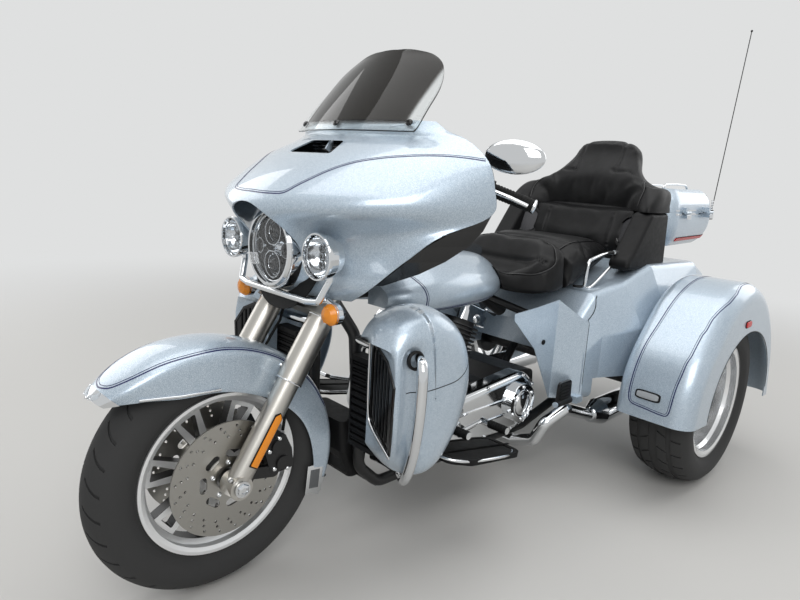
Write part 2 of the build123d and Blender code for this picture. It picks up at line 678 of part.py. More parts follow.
def guard_space():
    return pipe(GUARD_PATH, GUARD_R, 40)


CRANK = (190.0, 0.0, 300.0)
VEE_HALF = 22.5


def cylinder_place(side):
    return Pos(*CRANK) * Rot(0, side * VEE_HALF, 0)


@cache
def engine_cases():
    case = slab([(20, 200), (330, 200), (350, 260), (350, 350), (300, 420), (80, 420), (20, 360)], -110, 152, 24)
    cam = slab([(110, 230), (280, 230), (310, 300), (250, 400), (130, 400), (80, 300)], -142, -109, 20)
    box = slab([(30, 210), (30, 380), (-60, 420), (-210, 400), (-230, 250), (-180, 205)], -120, 150, 24)
    return case + cam + box


def finned_barrel():
    """Cylinder and head with cooling fins, drawn about its own axis."""
    base_z, top_z, fin_r, root_r, pitch = 130.0, 318.0, 84.0, 66.0, 14.0
    points = [(0, base_z - 10), (root_r, base_z - 10)]
    z = base_z
    while z < top_z - pitch / 2:
        points += [(root_r, z), (fin_r, z + 1.5), (fin_r, z + 6.0), (root_r, z + 7.5)]
        z += pitch
    points += [(root_r, top_z), (0, top_z)]
    return revolve(Plane.XZ * face(points), Axis.Z)


@cache
def engine():
    """Crankcase and gearbox in one closed mass, with both finned barrels on it."""
    front, rear = [cylinder_place(side) * finned_barrel() for side in (1, -1)]
    return engine_cases() + front + rear


def rocker_covers():
    """Two-step rocker boxes and, on the right, the pushrod tubes up to them."""
    lower = Pos(0, 0, 336) * Box(150, 168, 36)
    upper = Pos(0, 0, 366) * Box(132, 150, 30)
    cover = fillet(lower.edges().filter_by(Axis.Z), 30) + fillet(upper.edges().filter_by(Axis.Z), 28)
    cover = fillet(cover.faces().sort_by(Axis.Z)[-1].edges(), 8)
    tubes = rod((-34, -124, 128), (-20, -80, 330), 8) + rod((34, -124, 128), (20, -80, 330), 8)
    return group(*[cylinder_place(side) * (cover + tubes) - engine() for side in (1, -1)])


def air_cleaner():
    """Teardrop cover on the right with its intake neck between the barrels."""
    shell = slab([(120, 480), (260, 480), (300, 540), (270, 620), (130, 620), (90, 550)], -196, -128, 34)
    shell = fillet(shell.faces().sort_by(Axis.Y)[0].edges(), 12)
    neck = rod((190, -130, 548), (190, -30, 548), 25)
    return shell + neck - engine()


def hull_plate(circles, y0, y1):
    """Plate whose outline is the tangent hull of circles (x, z, r)."""
    sketch = Sketch() + [Pos(x, z) * Circle(r) for x, z, r in circles]
    return extrude(along(y0) * make_hull(sketch.edges()), amount=-(y1 - y0))


@cache
def primary_cover():
    cover = hull_plate([(292, 326, 78), (-41, 329, 104)], 152, 214)
    cover = fillet(cover.faces().sort_by(Axis.Y)[-1].edges(), 22)
    cover += rod((-41, 213, 329), (-41, 234, 329), 68)
    cover += rod((292, 213, 326), (292, 222, 326), 44)
    return cover


def muffler(x, y, z):
    body = revolve(Plane.XZ * face([(0, 0), (30, 0), (50, 60), (50, 480), (40, 520), (32, 640), (27, 640), (34, 520),
                                    (34, 470), (0, 470)]), Axis.Z)
    return Pos(x, y, z) * Rot(0, -90, 0) * body


def exhaust():
    """Two header pipes on the right, a cross-over to the left, and a muffler each side."""
    front = pipe([(330, -60, 548), (402, -122, 538), (384, -174, 300), (250, -178, 236), (-90, -178, 206),
                  (-230, -300, 214), (-400, -300, 222)], 22, 44)
    rear = pipe([(50, -60, 548), (-22, -122, 530), (-64, -178, 300), (-120, -180, 214)], 22, 40)
    cross = pipe([(-70, -178, 204), (-120, -196, 122), (-180, -120, 112), (-180, 120, 112), (-134, 236, 170),
                  (-134, 270, 244), (-210, 300, 290), (-400, 300, 222)], 22, 24)
    pipes = front + rear + cross - engine()
    pipes = pipes.solids().sort_by(SortBy.VOLUME)[-1]
    return pipes + muffler(-399, -300, 222) + muffler(-399, 300, 222)


def fuel_tank_section(x, half, low, high, shoulder):
    outline = [
        Line((-half * 0.86, low), (half * 0.86, low)),
        ThreePointArc((half * 0.86, low), (half, low + 0.32 * (high - low)), (half * 0.86, shoulder)),
        ThreePointArc((half * 0.86, shoulder), (0, high), (-half * 0.86, shoulder)),
        ThreePointArc((-half * 0.86, shoulder), (-half, low + 0.32 * (high - low)), (-half * 0.86, low)),
    ]
    return across(x) * make_face(outline)


@cache
def tank_form():
    rows = [(-86, 62, 694, 752, 726), (-20, 108, 692, 812, 760), (90, 158, 690, 846, 786), (230, 190, 690, 856, 796),
            (370, 196, 692, 850, 792), (470, 176, 698, 826, 776), (524, 130, 708, 790, 758)]
    return skin([fuel_tank_section(*row) for row in rows])


def fuel_tank():
    tunnel = block(-200, 600, -44, 44, 640, 768)
    return tank_form() - tunnel - frame_cradle()


def tank_console():
    bar = slab([(20, 800), (20, 852), (80, 872), (230, 876), (300, 868), (300, 800)], -48, 48, 10)
    return bar - tank_form()


# Lower fairings, radiator screens and chin

LOWER_OUTLINE = [(609, 763), (712, 722), (742, 600), (728, 470), (660, 330), (545, 304), (446, 392),
                 (407, 534), (446, 676), (530, 744)]


def scaled(points, ratio, centre):
    cx, cz = centre
    return [(cx + (x - cx) * ratio, cz + (z - cz) * ratio) for x, z in points]


@cache
def lower_form():
    centre = (590.0, 540.0)
    rows = [(238, 0.93, 40), (300, 1.0, 46), (352, 0.965, 44), (384, 0.80, 36), (392, 0.62, 28)]
    return skin([along(y) * face(scaled(LOWER_OUTLINE, k, centre), r) for y, k, r in rows])


def lower_fairing(side):
    pod = lower_form() - guard_space()
    hollow = skin([along(y) * face(scaled(LOWER_OUTLINE, k, (590.0, 540.0)), r)
                   for y, k, r in ((230, 0.86, 34), (300, 0.94, 40), (350, 0.90, 38), (376, 0.72, 30))])
    pod -= hollow
    return pod if side > 0 else mirror(pod, about=Plane.XZ)


def radiator_screens():
    """Slatted screens in front of the two radiators, bracketed to the down tubes."""
    screen = block(612, 652, 128, 238, 340, 600, 6)
    for i in range(12):
        screen -= block(640, 660, 138, 228, 354 + 20 * i, 366 + 20 * i)
    for z in (380, 560):
        screen += block(590, 630, 100, 140, z, z + 16)
    return pair((screen - frame_cradle()).solids().sort_by(SortBy.VOLUME)[-1])


def chin_cover():
    """Hollow scoop between the down tubes, open to the rear."""
    cover = skin([level(196) * face([(540, -84), (600, -84), (600, 84), (540, 84)], 16),
                  level(290) * face([(540, -98), (640, -92), (640, 92), (540, 98)], 16),
                  level(384) * face([(560, -98), (646, -92), (646, 92), (560, 98)], 16)], ruled=True)
    return cover - block(500, 628, -76, 76, 206, 374) - frame_cradle()


# Rider controls

def footboards():
    """Long oval boards with a raised rim, on two brackets from the lower rails."""
    outline = [(182, 266), (182, 396), (436, 404), (498, 372), (504, 320), (470, 270), (420, 256), (240, 256)]
    board = deck(outline, 0, 16, 36)
    pad = deck(scaled(outline, 0.90, (340, 330)), 8, 30, 32)
    left = Pos(182, 0, 262) * Rot(0, -11, 0) * Pos(-182, 0, 0) * (board - pad)
    for x, z in ((420, 300), (240, 264)):
        left += pipe([(x, 116, 172), (x, 250, 190), (x, 300, z)], 11, 20)
    return pair((left - frame_cradle()).solids().sort_by(SortBy.VOLUME)[-1])


def foot_controls():
    """Heel-and-toe shift lever on the left, brake pedal on the right."""
    lever = pipe([(212, 258, 338), (320, 258, 326), (396, 258, 372)], 7, 30)
    for x, z in ((212, 338), (396, 372)):
        lever += rod((x, 256, z), (x, 356, z), 11)
    pivot = rod((320, 222, 326), (320, 262, 326), 14)
    pedal = pipe([(286, -138, 322), (286, -262, 332), (394, -290, 362)], 7, 16)
    pedal += slab([(366, 340), (420, 366), (414, 378), (360, 352)], -372, -286, 3)
    return group(lever + pivot - primary_cover(), pedal - engine_cases())


# Seat and body

@cache
def seat():
    rows = [(46, 96, 748, 806), (-40, 150, 700, 782), (-150, 214, 690, 772), (-250, 228, 700, 800), (-262, 228, 700, 862),
            (-420, 226, 740, 866), (-590, 206, 790, 852)]
    front = skin([across(x) * face(both([(h, lo), (h, hi)])[::-1], 24) for x, h, lo, hi in rows[:4]])
    rear = skin([across(x) * face(both([(h, lo), (h, hi)])[::-1], 24) for x, h, lo, hi in rows[4:]])
    return front, rear


def rider_seat():
    return seat()[0] - tank_form() - frame_cradle()


@cache
def pillion_seat():
    return seat()[1]


def grab_rails():
    rail = pipe([(-476, 214, 838), (-476, 262, 838), (-322, 262, 716), (-322, 214, 716)], 8, 12)
    return pair((rail - pillion_seat()).solids().sort_by(SortBy.VOLUME)[-1])


BODY_ROWS = [
    # x, half width, low, middle, high, top half width
    (-244.0, 330.0, 330.0, 497.0, 600.0, 286.0),
    (-322.0, 350.0, 318.0, 555.0, 700.0, 300.0),
    (-480.0, 420.0, 318.0, 577.0, 735.0, 330.0),
    (-640.0, 432.0, 318.0, 611.0, 790.0, 350.0),
    (-1000.0, 432.0, 318.0, 607.0, 784.0, 370.0),
    (-1092.0, 430.0, 318.0, 580.0, 740.0, 372.0),
]

SIDE_COVER_ROWS = [
    # x, half width, low, high
    (50.0, 231.0, 634.0, 656.0),
    (-73.0, 240.0, 518.0, 668.0),
    (-174.0, 252.0, 326.0, 684.0),
    (-250.0, 334.0, 330.0, 606.0),
]
TRUNK_FLOOR_Z = 452.0


def body_section(x, half, low, mid, high, top_half, radius=30.0):
    return across(x) * face(both([(half, low), (half, mid), (top_half, high)]), radius)


@cache
def trunk_space():
    """Load space, open to the rear."""
    rows = [(x, half - 10, TRUNK_FLOOR_Z, mid, high - 10, top - 10, 20) for x, half, _, mid, high, top in BODY_ROWS[3:5]]
    rows.append((-1093.0, 390.0, TRUNK_FLOOR_Z + 16, 580.0, 686.0, 350.0, 20))
    return skin([body_section(*row) for row in rows], ruled=True)


@cache
def side_cover():
    """Thin faceted cover from under the seat out to the body's front rib."""
    rows = []
    for x, half, low, high in SIDE_COVER_ROWS:
        rows.append(across(x) * face([(half - WALL, low), (half, low), (half, high), (half - WALL, high)]))
    return skin(rows, ruled=True)


@cache
def board_arm(side):
    """Arm on the body that the passenger board folds on."""
    arm = rod((BOARD_FRONT_X + 4, BOARD_Y, BOARD_Z), (-262, BOARD_Y, BOARD_Z), BOARD_PIN_R)
    arm += rod((BOARD_FRONT_X + 4, BOARD_Y, BOARD_Z), (BOARD_FRONT_X + 10, BOARD_Y, BOARD_Z), 10)
    arm += block(-262, BOARD_REAR_X - 6, 292, 336, 318, 342)
    return arm if side > 0 else mirror(arm, about=Plane.XZ)


@cache
def body_shell():
    """Trunk body with its wheel side walls, front covers and hollow load space."""
    body = skin([body_section(*row) for row in BODY_ROWS], ruled=True)
    body -= trunk_space()
    body -= block(-1200, -300, -330, 330, 200, 440)
    body -= block(-1200, -300, -400, 400, 200, 400)
    body -= block(-330, -200, -240, 240, 200, 560)
    body -= rod((REAR_AXLE_X, -500, REAR_AXLE_Z), (REAR_AXLE_X, 500, REAR_AXLE_Z), 84)
    for cover in (side_cover(), mirror(side_cover(), about=Plane.XZ)):
        body += cover
    body = body - frame_cradle() + board_arm(1) + board_arm(-1)
    x, z = DOOR_HINGE
    for y in DOOR_HINGE_Y:
        body += block(x, -1090, y - 20, y - 0.5, z - 5, z + 5)
        body += rod((x, y - 20, z), (x, y - 0.5, z), KNUCKLE_R) + rod((x, y - 20, z), (x, y + 20, z), PIN_R)
    return body.solids().sort_by(SortBy.VOLUME)[-1]


def trunk_door():
    """Pressed door with a shallow recess in the middle."""
    outline = both([(400, 458), (402, 588), (364, 696)])
    door = extrude(across(-1118) * face(outline, 20), amount=23.5)
    door -= extrude(across(-1118) * face(both([(150, 500), (150, 632)]), 16), amount=9)
    x, z = DOOR_HINGE
    for y in DOOR_HINGE_Y:
        door += block(x - 5, x + 5, y + 0.5, y + 20, 690, z) + rod((x, y + 0.5, z), (x, y + 20, z), KNUCKLE_R)
        door -= rod((x, y - 21, z), (x, y + 21, z), PIN_R + 0.05)
    return door


REAR_FENDER_CORNERS = [(-282, 150), (-323, 490), (-551, 725), (-843, 802), (-1108, 559), (-1206, 150)]
REAR_FENDER_RADII = [70, 338, 359, 361, 515, 70]
REAR_FENDER_INNER_Y, REAR_FENDER_OUTER_Y = 432.0, 695.0
ARCH = (-770.0, 292.0, 306.0, 292.0)      # centre x, centre z, half length, half height


@cache
def fender_form(inset):
    """Pillow-shaped fender, drawn solid; inset gives its inside."""
    sketch = make_face(FilletPolyline(*REAR_FENDER_CORNERS, radius=REAR_FENDER_RADII, close=True))
    if inset:
        sketch = offset(sketch, amount=-inset)
    y0, y1 = REAR_FENDER_INNER_Y + inset, REAR_FENDER_OUTER_Y - inset
    solid = extrude(along(y0) * sketch, amount=-(y1 - y0))
    solid = fillet(solid.faces().sort_by(Axis.Y)[-1].edges(), 64 - inset)
    return fillet(solid.faces().sort_by(Axis.Y)[0].edges(), 40 - inset)


@cache
def rear_fender(side):
    """Hollow fender, open below and round the wheel, with an inner wall on the body's side."""
    shell = fender_form(0.0) - fender_form(WALL)
    shell -= slab([(-200, 318), (-740, 285), (-1260, 262), (-1260, 100), (-200, 100)], 400, 720)
    x, z, length, height = ARCH
    shell -= Pos(x, 0, z) * extrude(along(600) * Ellipse(length, height), amount=-110)
    shell -= rod((REAR_AXLE_X, 420, REAR_AXLE_Z), (REAR_AXLE_X, 445, REAR_AXLE_Z), 96)
    shell -= block(REAR_AXLE_X - 96, REAR_AXLE_X + 96, 420, 445, 200, REAR_AXLE_Z)
    return shell if side > 0 else mirror(shell, about=Plane.XZ)


def rear_axle():
    shaft = rod((REAR_AXLE_X, -REAR_TRACK_HALF + 30, REAR_AXLE_Z), (REAR_AXLE_X, REAR_TRACK_HALF - 30, REAR_AXLE_Z),
                REAR_AXLE_R)
    housing = rod((REAR_AXLE_X, -410, REAR_AXLE_Z), (REAR_AXLE_X, 410, REAR_AXLE_Z), 36)
    diff = Pos(REAR_AXLE_X, 0, REAR_AXLE_Z) * Sphere(92)
    axle = housing + diff
    for side in (1, -1):
        axle += rod((REAR_AXLE_X, side * 410, REAR_AXLE_Z), (REAR_AXLE_X, side * 430, REAR_AXLE_Z), 80)
    axle += shaft
    for side in (1, -1):
        axle += pipe([(-560, side * 160, 395), (-620, side * 160, 350), (-680, side * 160, 325)], 16, 40)
    return axle - frame_cradle()


# Top case, pods and backrest

def case_row(z, front, rear, half, radius):
    return level(z) * face([(front, -half), (front, half), (rear, half * 0.92), (rear, -half * 0.92)], radius)


@cache
def case_outer():
    return skin([case_row(846, -840, -1220, 300, 50), case_row(880, -815, -1266, 326, 60),
                 case_row(LID_SEAM_Z, -800, -1300, 335, 64)])


def case_wall(x):
    """Half width of the case at the seam."""
    return 335 * (1 - 0.08 * (-800 - x) / 500)


@cache
def case_rack():
    """Posts between the trunk roof and the top case."""
    rack = block(-1080, -860, -180, 180, 770, 846, 20) - body_shell()
    return rack.solids().sort_by(SortBy.VOLUME)[-1]


def case_base():
    inner = skin([case_row(856, -850, -1212, 292, 46), case_row(880, -820, -1258, 320, 56),
                  case_row(LID_SEAM_Z + 1, -805, -1295, 330, 60)])
    base = (case_outer() - inner) + case_rack()
    y, z = LID_HINGE
    for x in LID_HINGE_X:
        base += block(x - 22, x - 0.5, case_wall(x) - 4, y, 962, z - 0.5) + rod((x - 22, y, z), (x - 0.5, y, z), KNUCKLE_R)
        base += rod((x - 22, y, z), (x + 22, y, z), PIN_R)
    return base


@cache
def case_lid():
    outer = skin([case_row(LID_SEAM_Z + 0.5, -800, -1300, 335, 64), case_row(1040, -826, -1286, 324, 60),
                  case_row(1078, -880, -1250, 288, 50)])
    inner = skin([case_row(LID_SEAM_Z - 1, -805, -1295, 330, 60), case_row(1038, -831, -1281, 319, 56),
                  case_row(1072, -885, -1245, 283, 46)])
    lid = outer - inner
    y, z = LID_HINGE
    for x in LID_HINGE_X:
        lid += block(x + 0.5, x + 22, case_wall(x) - 8, y, z + 0.5, 1006) + rod((x + 0.5, y, z), (x + 22, y, z), KNUCKLE_R)
        lid -= rod((x - 23, y, z), (x + 23, y, z), PIN_R + 0.05)
    return lid


def backrest_lower():
    """Lumbar pad on the body's roof between the speaker pods, below the lid seam."""
    pad = deck([(-592, -244), (-592, 244), (-840, 244), (-840, -244)], 780, LID_SEAM_Z - 0.5, 24)
    pad = pad - case_outer() - body_shell() - seat()[1]
    return pad.solids().sort_by(SortBy.VOLUME)[-1]


def backrest_upper():
    """Back pad with its side arms and the headrest, all carried by the lid."""
    arms = deck([(-570, 336), (-570, 292), (-650, 246), (-706, 200), (-706, -200), (-650, -246), (-570, -292),
                 (-570, -336), (-680, -336), (-780, -300), (-798, -240), (-798, 240), (-780, 300), (-680, 336)],
                LID_SEAM_Z + 1, 1092, 8)
    head = deck([(-776, -150), (-776, 150), (-868, 128), (-868, -128)], 1092.0, 1260, 24)
    return (arms + head) - case_lid()


def speaker_pods():
    """Pods with recessed round grilles, between the body's roof and the case."""
    pod = slab([(-690, 978), (-830, 978), (-840, 760), (-560, 760), (-572, 822), (-640, 868)], 246, 330, 14)
    pod -= Pos(-650, 288, 905) * Rot(0, 58, 0) * Cylinder(34, 60)
    pod = pod - case_outer() - body_shell()
    return pair(pod.solids().sort_by(SortBy.VOLUME)[-1])


def rear_lamps():
    """Red strip lamp on the case and a round lamp on the back of each rear fender."""
    strip = block(-1312, -1290, -240, 240, 896, 924, 4) - case_outer()
    round_lamp = rod((-1030, 566, 540), (-1112, 566, 588), 34) - fender_form(0.0)
    return group(strip, round_lamp, mirror(round_lamp, about=Plane.XZ))


def antenna():
    """Whip on a foot behind the case's rear left corner."""
    foot, tip = (-1318, 292, 960), (-1433, 300, 1777)
    mast = rod(foot, tip, 2.0) + Pos(*tip) * Sphere(5) + rod(foot, (-1322, 292, 990), 8)
    return mast + (block(-1326, -1270, 284, 300, 948, 962) - case_outer())


def passenger_board(side):
    """Folding board with a ribbed tread, on its arm."""
    x0, x1 = BOARD_REAR_X, BOARD_FRONT_X
    board = slab([(x1 - 6, BOARD_Z + 76), (x1, BOARD_Z), (x0, BOARD_Z), (x0 + 4, BOARD_Z + 76)],
                 BOARD_Y - 7, BOARD_Y + 3, 14)
    for i in range(5):
        board += block(x0 + 12, x1 - 12, BOARD_Y + 2, BOARD_Y + 6, BOARD_Z + 16 + 12 * i, BOARD_Z + 22 + 12 * i)
    board += rod((x0, BOARD_Y, BOARD_Z), (x1, BOARD_Y, BOARD_Z), BOARD_PIN_R + 5)
    board -= rod((x0 - 5, BOARD_Y, BOARD_Z), (x1 + 5, BOARD_Y, BOARD_Z), BOARD_PIN_R + 0.05)
    return board if side > 0 else mirror(board, about=Plane.XZ)


PARTS = {
    "front_tyre": front_tyre,
    "front_rim": front_rim,
    "front_discs": front_discs,
    "rear_tyre_left": lambda: rear_tyre(1),
    "rear_tyre_right": lambda: rear_tyre(-1),
    "rear_rim_left": lambda: rear_rim(1),
    "rear_rim_right": lambda: rear_rim(-1),
    "fork_legs": fork_legs,
    "fork_crown": fork_crown,
    "front_axle": front_axle,
    "front_fender": front_fender,
    "fender_trim": fender_trim,
    "brake_calipers": brake_calipers,
    "brake_lines": brake_lines,
    "fairing_outer": fairing_outer,
    "fairing_inner": fairing_inner,
    "windscreen": windscreen,
    "wind_deflectors": wind_deflectors,
    "headlamp_bucket": headlamp_bucket,
    "headlamp_modules": headlamp_modules,
    "headlamp_lens": headlamp_lens,
    "passing_lamp_lenses": passing_lamp_lens,
    "front_signals": front_signals,
    "lamp_bar": lamp_bar,
    "handlebar": handlebar,
    "grips": grips,
    "mirrors": mirrors,
    "frame_cradle": frame_cradle,
    "engine_guard": engine_guard,
    "engine": engine,
    "rocker_covers": rocker_covers,
    "air_cleaner": air_cleaner,
    "primary_cover": primary_cover,
    "exhaust": exhaust,
    "fuel_tank": fuel_tank,
    "tank_console": tank_console,
    "lower_fairing_left": lambda: lower_fairing(1),
    "lower_fairing_right": lambda: lower_fairing(-1),
    "radiator_screens": radiator_screens,
    "chin_cover": chin_cover,
    "footboards": footboards,
    "foot_controls": foot_controls,
    "rider_seat": rider_seat,
    "pillion_seat": pillion_seat,
    "grab_rails": grab_rails,
    "body_shell": body_shell,
    "trunk_door": trunk_door,
    "rear_fender_left": lambda: rear_fender(1),
    "rear_fender_right": lambda: rear_fender(-1),
    "rear_axle": rear_axle,
    "case_base": case_base,
    "case_lid": case_lid,
    "backrest_lower": backrest_lower,
    "backrest_upper": backrest_upper,
    "speaker_pods": speaker_pods,
    "rear_lamps": rear_lamps,
    "passenger_board_left": lambda: passenger_board(1),
    "passenger_board_right": lambda: passenger_board(-1),
    "antenna": antenna,
}


def main():
    os.makedirs("parts", exist_ok=True)
    for name, make in PARTS.items():
        placed = Pos(ORIGIN_SHIFT, 0, 0) * make()
        export_step(Compound(children=list(placed.solids())), f"parts/{name}.step")


if __name__ == "__main__":
    main()
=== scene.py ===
"""Dresses the motorized trike: finishes, upholstery, tread, pin stripes and a plain studio."""
import json
import logging
from contextlib import contextmanager
from dataclasses import dataclass, replace
from enum import Enum
from functools import lru_cache
from math import atan2, copysign, cos, degrees, exp, hypot, pi, radians, sin
from typing import Callable, Iterable, Iterator, Sequence

import bmesh
import bpy
from mathutils import Matrix, Vector
from mathutils.bvhtree import BVHTree
from mathutils.kdtree import KDTree

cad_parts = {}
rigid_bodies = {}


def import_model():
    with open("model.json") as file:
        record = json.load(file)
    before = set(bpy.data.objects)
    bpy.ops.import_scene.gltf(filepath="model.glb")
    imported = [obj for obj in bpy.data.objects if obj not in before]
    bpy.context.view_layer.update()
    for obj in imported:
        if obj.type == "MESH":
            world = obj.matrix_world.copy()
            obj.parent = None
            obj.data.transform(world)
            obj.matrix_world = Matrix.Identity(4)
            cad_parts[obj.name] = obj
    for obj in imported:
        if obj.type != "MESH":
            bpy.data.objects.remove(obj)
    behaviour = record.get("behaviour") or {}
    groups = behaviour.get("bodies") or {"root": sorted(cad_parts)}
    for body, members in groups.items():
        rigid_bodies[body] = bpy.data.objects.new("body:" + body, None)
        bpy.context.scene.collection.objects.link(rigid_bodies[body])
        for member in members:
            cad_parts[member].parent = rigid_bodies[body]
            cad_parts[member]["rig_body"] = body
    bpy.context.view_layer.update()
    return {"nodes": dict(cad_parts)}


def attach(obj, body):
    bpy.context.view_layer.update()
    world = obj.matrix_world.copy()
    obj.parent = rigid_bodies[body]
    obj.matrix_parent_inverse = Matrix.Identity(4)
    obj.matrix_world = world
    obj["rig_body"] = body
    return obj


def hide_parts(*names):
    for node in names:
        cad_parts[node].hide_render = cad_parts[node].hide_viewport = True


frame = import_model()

logging.basicConfig(level=logging.INFO, format="%(name)s: %(message)s")
log = logging.getLogger("trike")

Tree, Node, Socket, Piece = bpy.types.NodeTree, bpy.types.Node, bpy.types.NodeSocket, bpy.types.Object
Corner = tuple[float, float]
Place = tuple[float, float, float]
Route = Sequence[Sequence[float]]

MM = 0.001
ORIGIN_SHIFT = 64.0          # mm, from the drawing's zero to the frame's origin
HOME = (-ORIGIN_SHIFT, 0.0, 0.0)     # the frame's origin on the drawing
FRONT_AXLE = (990.0, 0.0, 320.0)
REAR_AXLE = (-680.0, 557.0, 325.0)
AHEAD, LEFT, UP = (1, 0, 0), (0, 1, 0), (0, 0, 1)
SIDES = ((1, "left"), (-1, "right"))
WELD = 0.00002               # m, vertices closer than this are one
SURROUND = "#DFE0E0"         # what the camera sees behind the trike


# Small tools


def at(x: float, y: float, z: float) -> Vector:
    """A point in metres from the drawing's millimetres."""
    return Vector(((x + ORIGIN_SHIFT) * MM, y * MM, z * MM))


def srgb(code: str) -> tuple[float, float, float, float]:
    """Turns a hex colour as seen on a screen to the linear values that nodes take.

    Args:
        code: Six hex digits, with or without a leading hash.

    Returns:
        Linear red, green, blue and an alpha of one.
    """
    digits = code.lstrip("#")
    parts = [int(digits[i:i + 2], 16) / 255 for i in (0, 2, 4)]
    return tuple(c / 12.92 if c <= 0.04045 else ((c + 0.055) / 1.055) ** 2.4 for c in parts) + (1.0,)


def add_node(tree: Tree, kind: str, settings: dict | None = None, links: dict | None = None) -> Node:
    """Adds one node with its settings, socket values and incoming links.

    Args:
        tree: The node tree that gets the node.
        kind: The node's type name without its ShaderNode prefix.
        settings: Properties by name, socket values by name or number, or a colour ramp's two stops.
        links: Output sockets by the input's name or number.

    Returns:
        The new node.
    """
    node = tree.nodes.new("ShaderNode" + kind)
    for key, value in (settings or {}).items():
        if key == "stops":
            for stop, (place, colour) in zip(node.color_ramp.elements, value):
                stop.position, stop.color = place, srgb(colour)
        elif isinstance(key, int) or key in node.inputs:
            node.inputs[key].default_value = value
        else:
            setattr(node, key, value)
    for key, socket in (links or {}).items():
        tree.links.new(socket, node.inputs[key])
    return node


def shown_rays(tree: Tree) -> Socket:
    """One for the camera's rays, also when mirrored or seen through a piece.

    Args:
        tree: The material's node tree.

    Returns:
        The socket that carries the value.
    """
    path = add_node(tree, "LightPath")
    seen = add_node(tree, "Math", {"operation": "MAXIMUM"},
                    {0: path.outputs["Is Camera Ray"], 1: path.outputs["Is Transmission Ray"]})
    return add_node(tree, "Math", {"operation": "MAXIMUM"},
                    {0: seen.outputs[0], 1: path.outputs["Is Glossy Ray"]}).outputs[0]


def from_axle(tree: Tree, axle: Place) -> Socket:
    """Distance from a wheel's axle, in metres.

    Args:
        tree: The material's node tree.
        axle: The axle's centre in drawing millimetres.

    Returns:
        The socket with the distance.
    """
    spot = add_node(tree, "TexCoord").outputs["Object"]
    shift = add_node(tree, "VectorMath", {"operation": "SUBTRACT", 1: at(*axle)}, {0: spot})
    flat = add_node(tree, "VectorMath", {"operation": "MULTIPLY", 1: (1.0, 0.0, 1.0)}, {0: shift.outputs[0]})
    return add_node(tree, "VectorMath", {"operation": "LENGTH"}, {0: flat.outputs[0]}).outputs["Value"]


# Finishes


@dataclass(frozen=True)
class Finish:
    """A surface finish that makes its own node material."""

    label: str
    colour: str
    metallic: float = 0.0
    roughness: float = 0.5
    gleam: float = 0.5

    def shader(self, tree: Tree) -> Node:
        """Adds the surface shader with the finish's plain values."""
        return add_node(tree, "BsdfPrincipled", {"Base Color": srgb(self.colour), "Metallic": self.metallic,
                                                 "Roughness": self.roughness, "Specular IOR Level": self.gleam})

    def dress(self, tree: Tree, shader: Node) -> None:
        """Adds the finish's own detail; a plain finish adds none."""

    def material(self) -> bpy.types.Material:
        """Gives the material, made once and kept by its label."""
        known = bpy.data.materials.get(self.label)
        if known:
            return known
        material = bpy.data.materials.new(self.label)
        material.use_nodes = True
        tree = material.node_tree
        tree.nodes.clear()
        shader = self.shader(tree)
        self.dress(tree, shader)
        add_node(tree, "OutputMaterial", links={"Surface": shader.outputs[0]})
        return material


@dataclass(frozen=True)
class PearlPaint(Finish):
    """Basecoat with fine metal flake under a clear coat: soft sparkle below a sharp gloss."""

    flake: str = "#DCE6EE"

    def dress(self, tree: Tree, shader: Node) -> None:
        """Flake colour from cells of about a millimetre, drawn coarser than the real flake.

        Args:
            tree: The material's node tree.
            shader: Its principled shader.
        """
        spot = add_node(tree, "TexCoord").outputs["Object"]
        cells = add_node(tree, "TexVoronoi", {"Scale": 1100.0}, {"Vector": spot})
        colour = add_node(tree, "ValToRGB", {"stops": ((0.30, self.colour), (0.95, self.flake))},
                          {"Fac": cells.outputs["Color"]})
        slow = add_node(tree, "TexNoise", {"Scale": 1000.0 / 180.0}, {"Vector": spot})
        shade = add_node(tree, "ValToRGB", {"stops": ((0.3, "#D0D4D8"), (0.7, "#FFFFFF"))},
                         {"Fac": slow.outputs["Fac"]})
        drift = add_node(tree, "MixRGB", {"blend_type": "MULTIPLY", "Fac": 0.10},
                         {"Color1": colour.outputs["Color"], "Color2": shade.outputs["Color"]})
        tree.links.new(drift.outputs["Color"], shader.inputs["Base Color"])
        shader.inputs["Coat Weight"].default_value = 1.0
        shader.inputs["Coat Roughness"].default_value = 0.03


@dataclass(frozen=True)
class Grained(Finish):
    """A surface whose fine grain shows as small bumps and uneven gloss."""

    grain_mm: float = 1.5
    depth_mm: float = 0.15
    spread: float = 0.10
    patch: float = 14.0

    def dress(self, tree: Tree, shader: Node) -> None:
        """Noise at the grain's size moves the height, and noise in wider patches the roughness.

        Args:
            tree: The material's node tree.
            shader: Its principled shader.
        """
        spot = add_node(tree, "TexCoord").outputs["Object"]
        grain = add_node(tree, "TexNoise", {"Scale": 1000.0 / self.grain_mm, "Detail": 3.0}, {"Vector": spot})
        bump = add_node(tree, "Bump", {"Distance": self.depth_mm * MM},
                        {"Height": grain.outputs["Fac"]})
        tree.links.new(bump.outputs["Normal"], shader.inputs["Normal"])
        wide = add_node(tree, "TexNoise", {"Scale": 1000.0 / (self.grain_mm * self.patch)},
                        {"Vector": spot})
        gloss = add_node(tree, "MapRange", {"To Min": self.roughness - self.spread,
                                            "To Max": self.roughness + self.spread}, {"Value": wide.outputs["Fac"]})
        tree.links.new(gloss.outputs["Result"], shader.inputs["Roughness"])


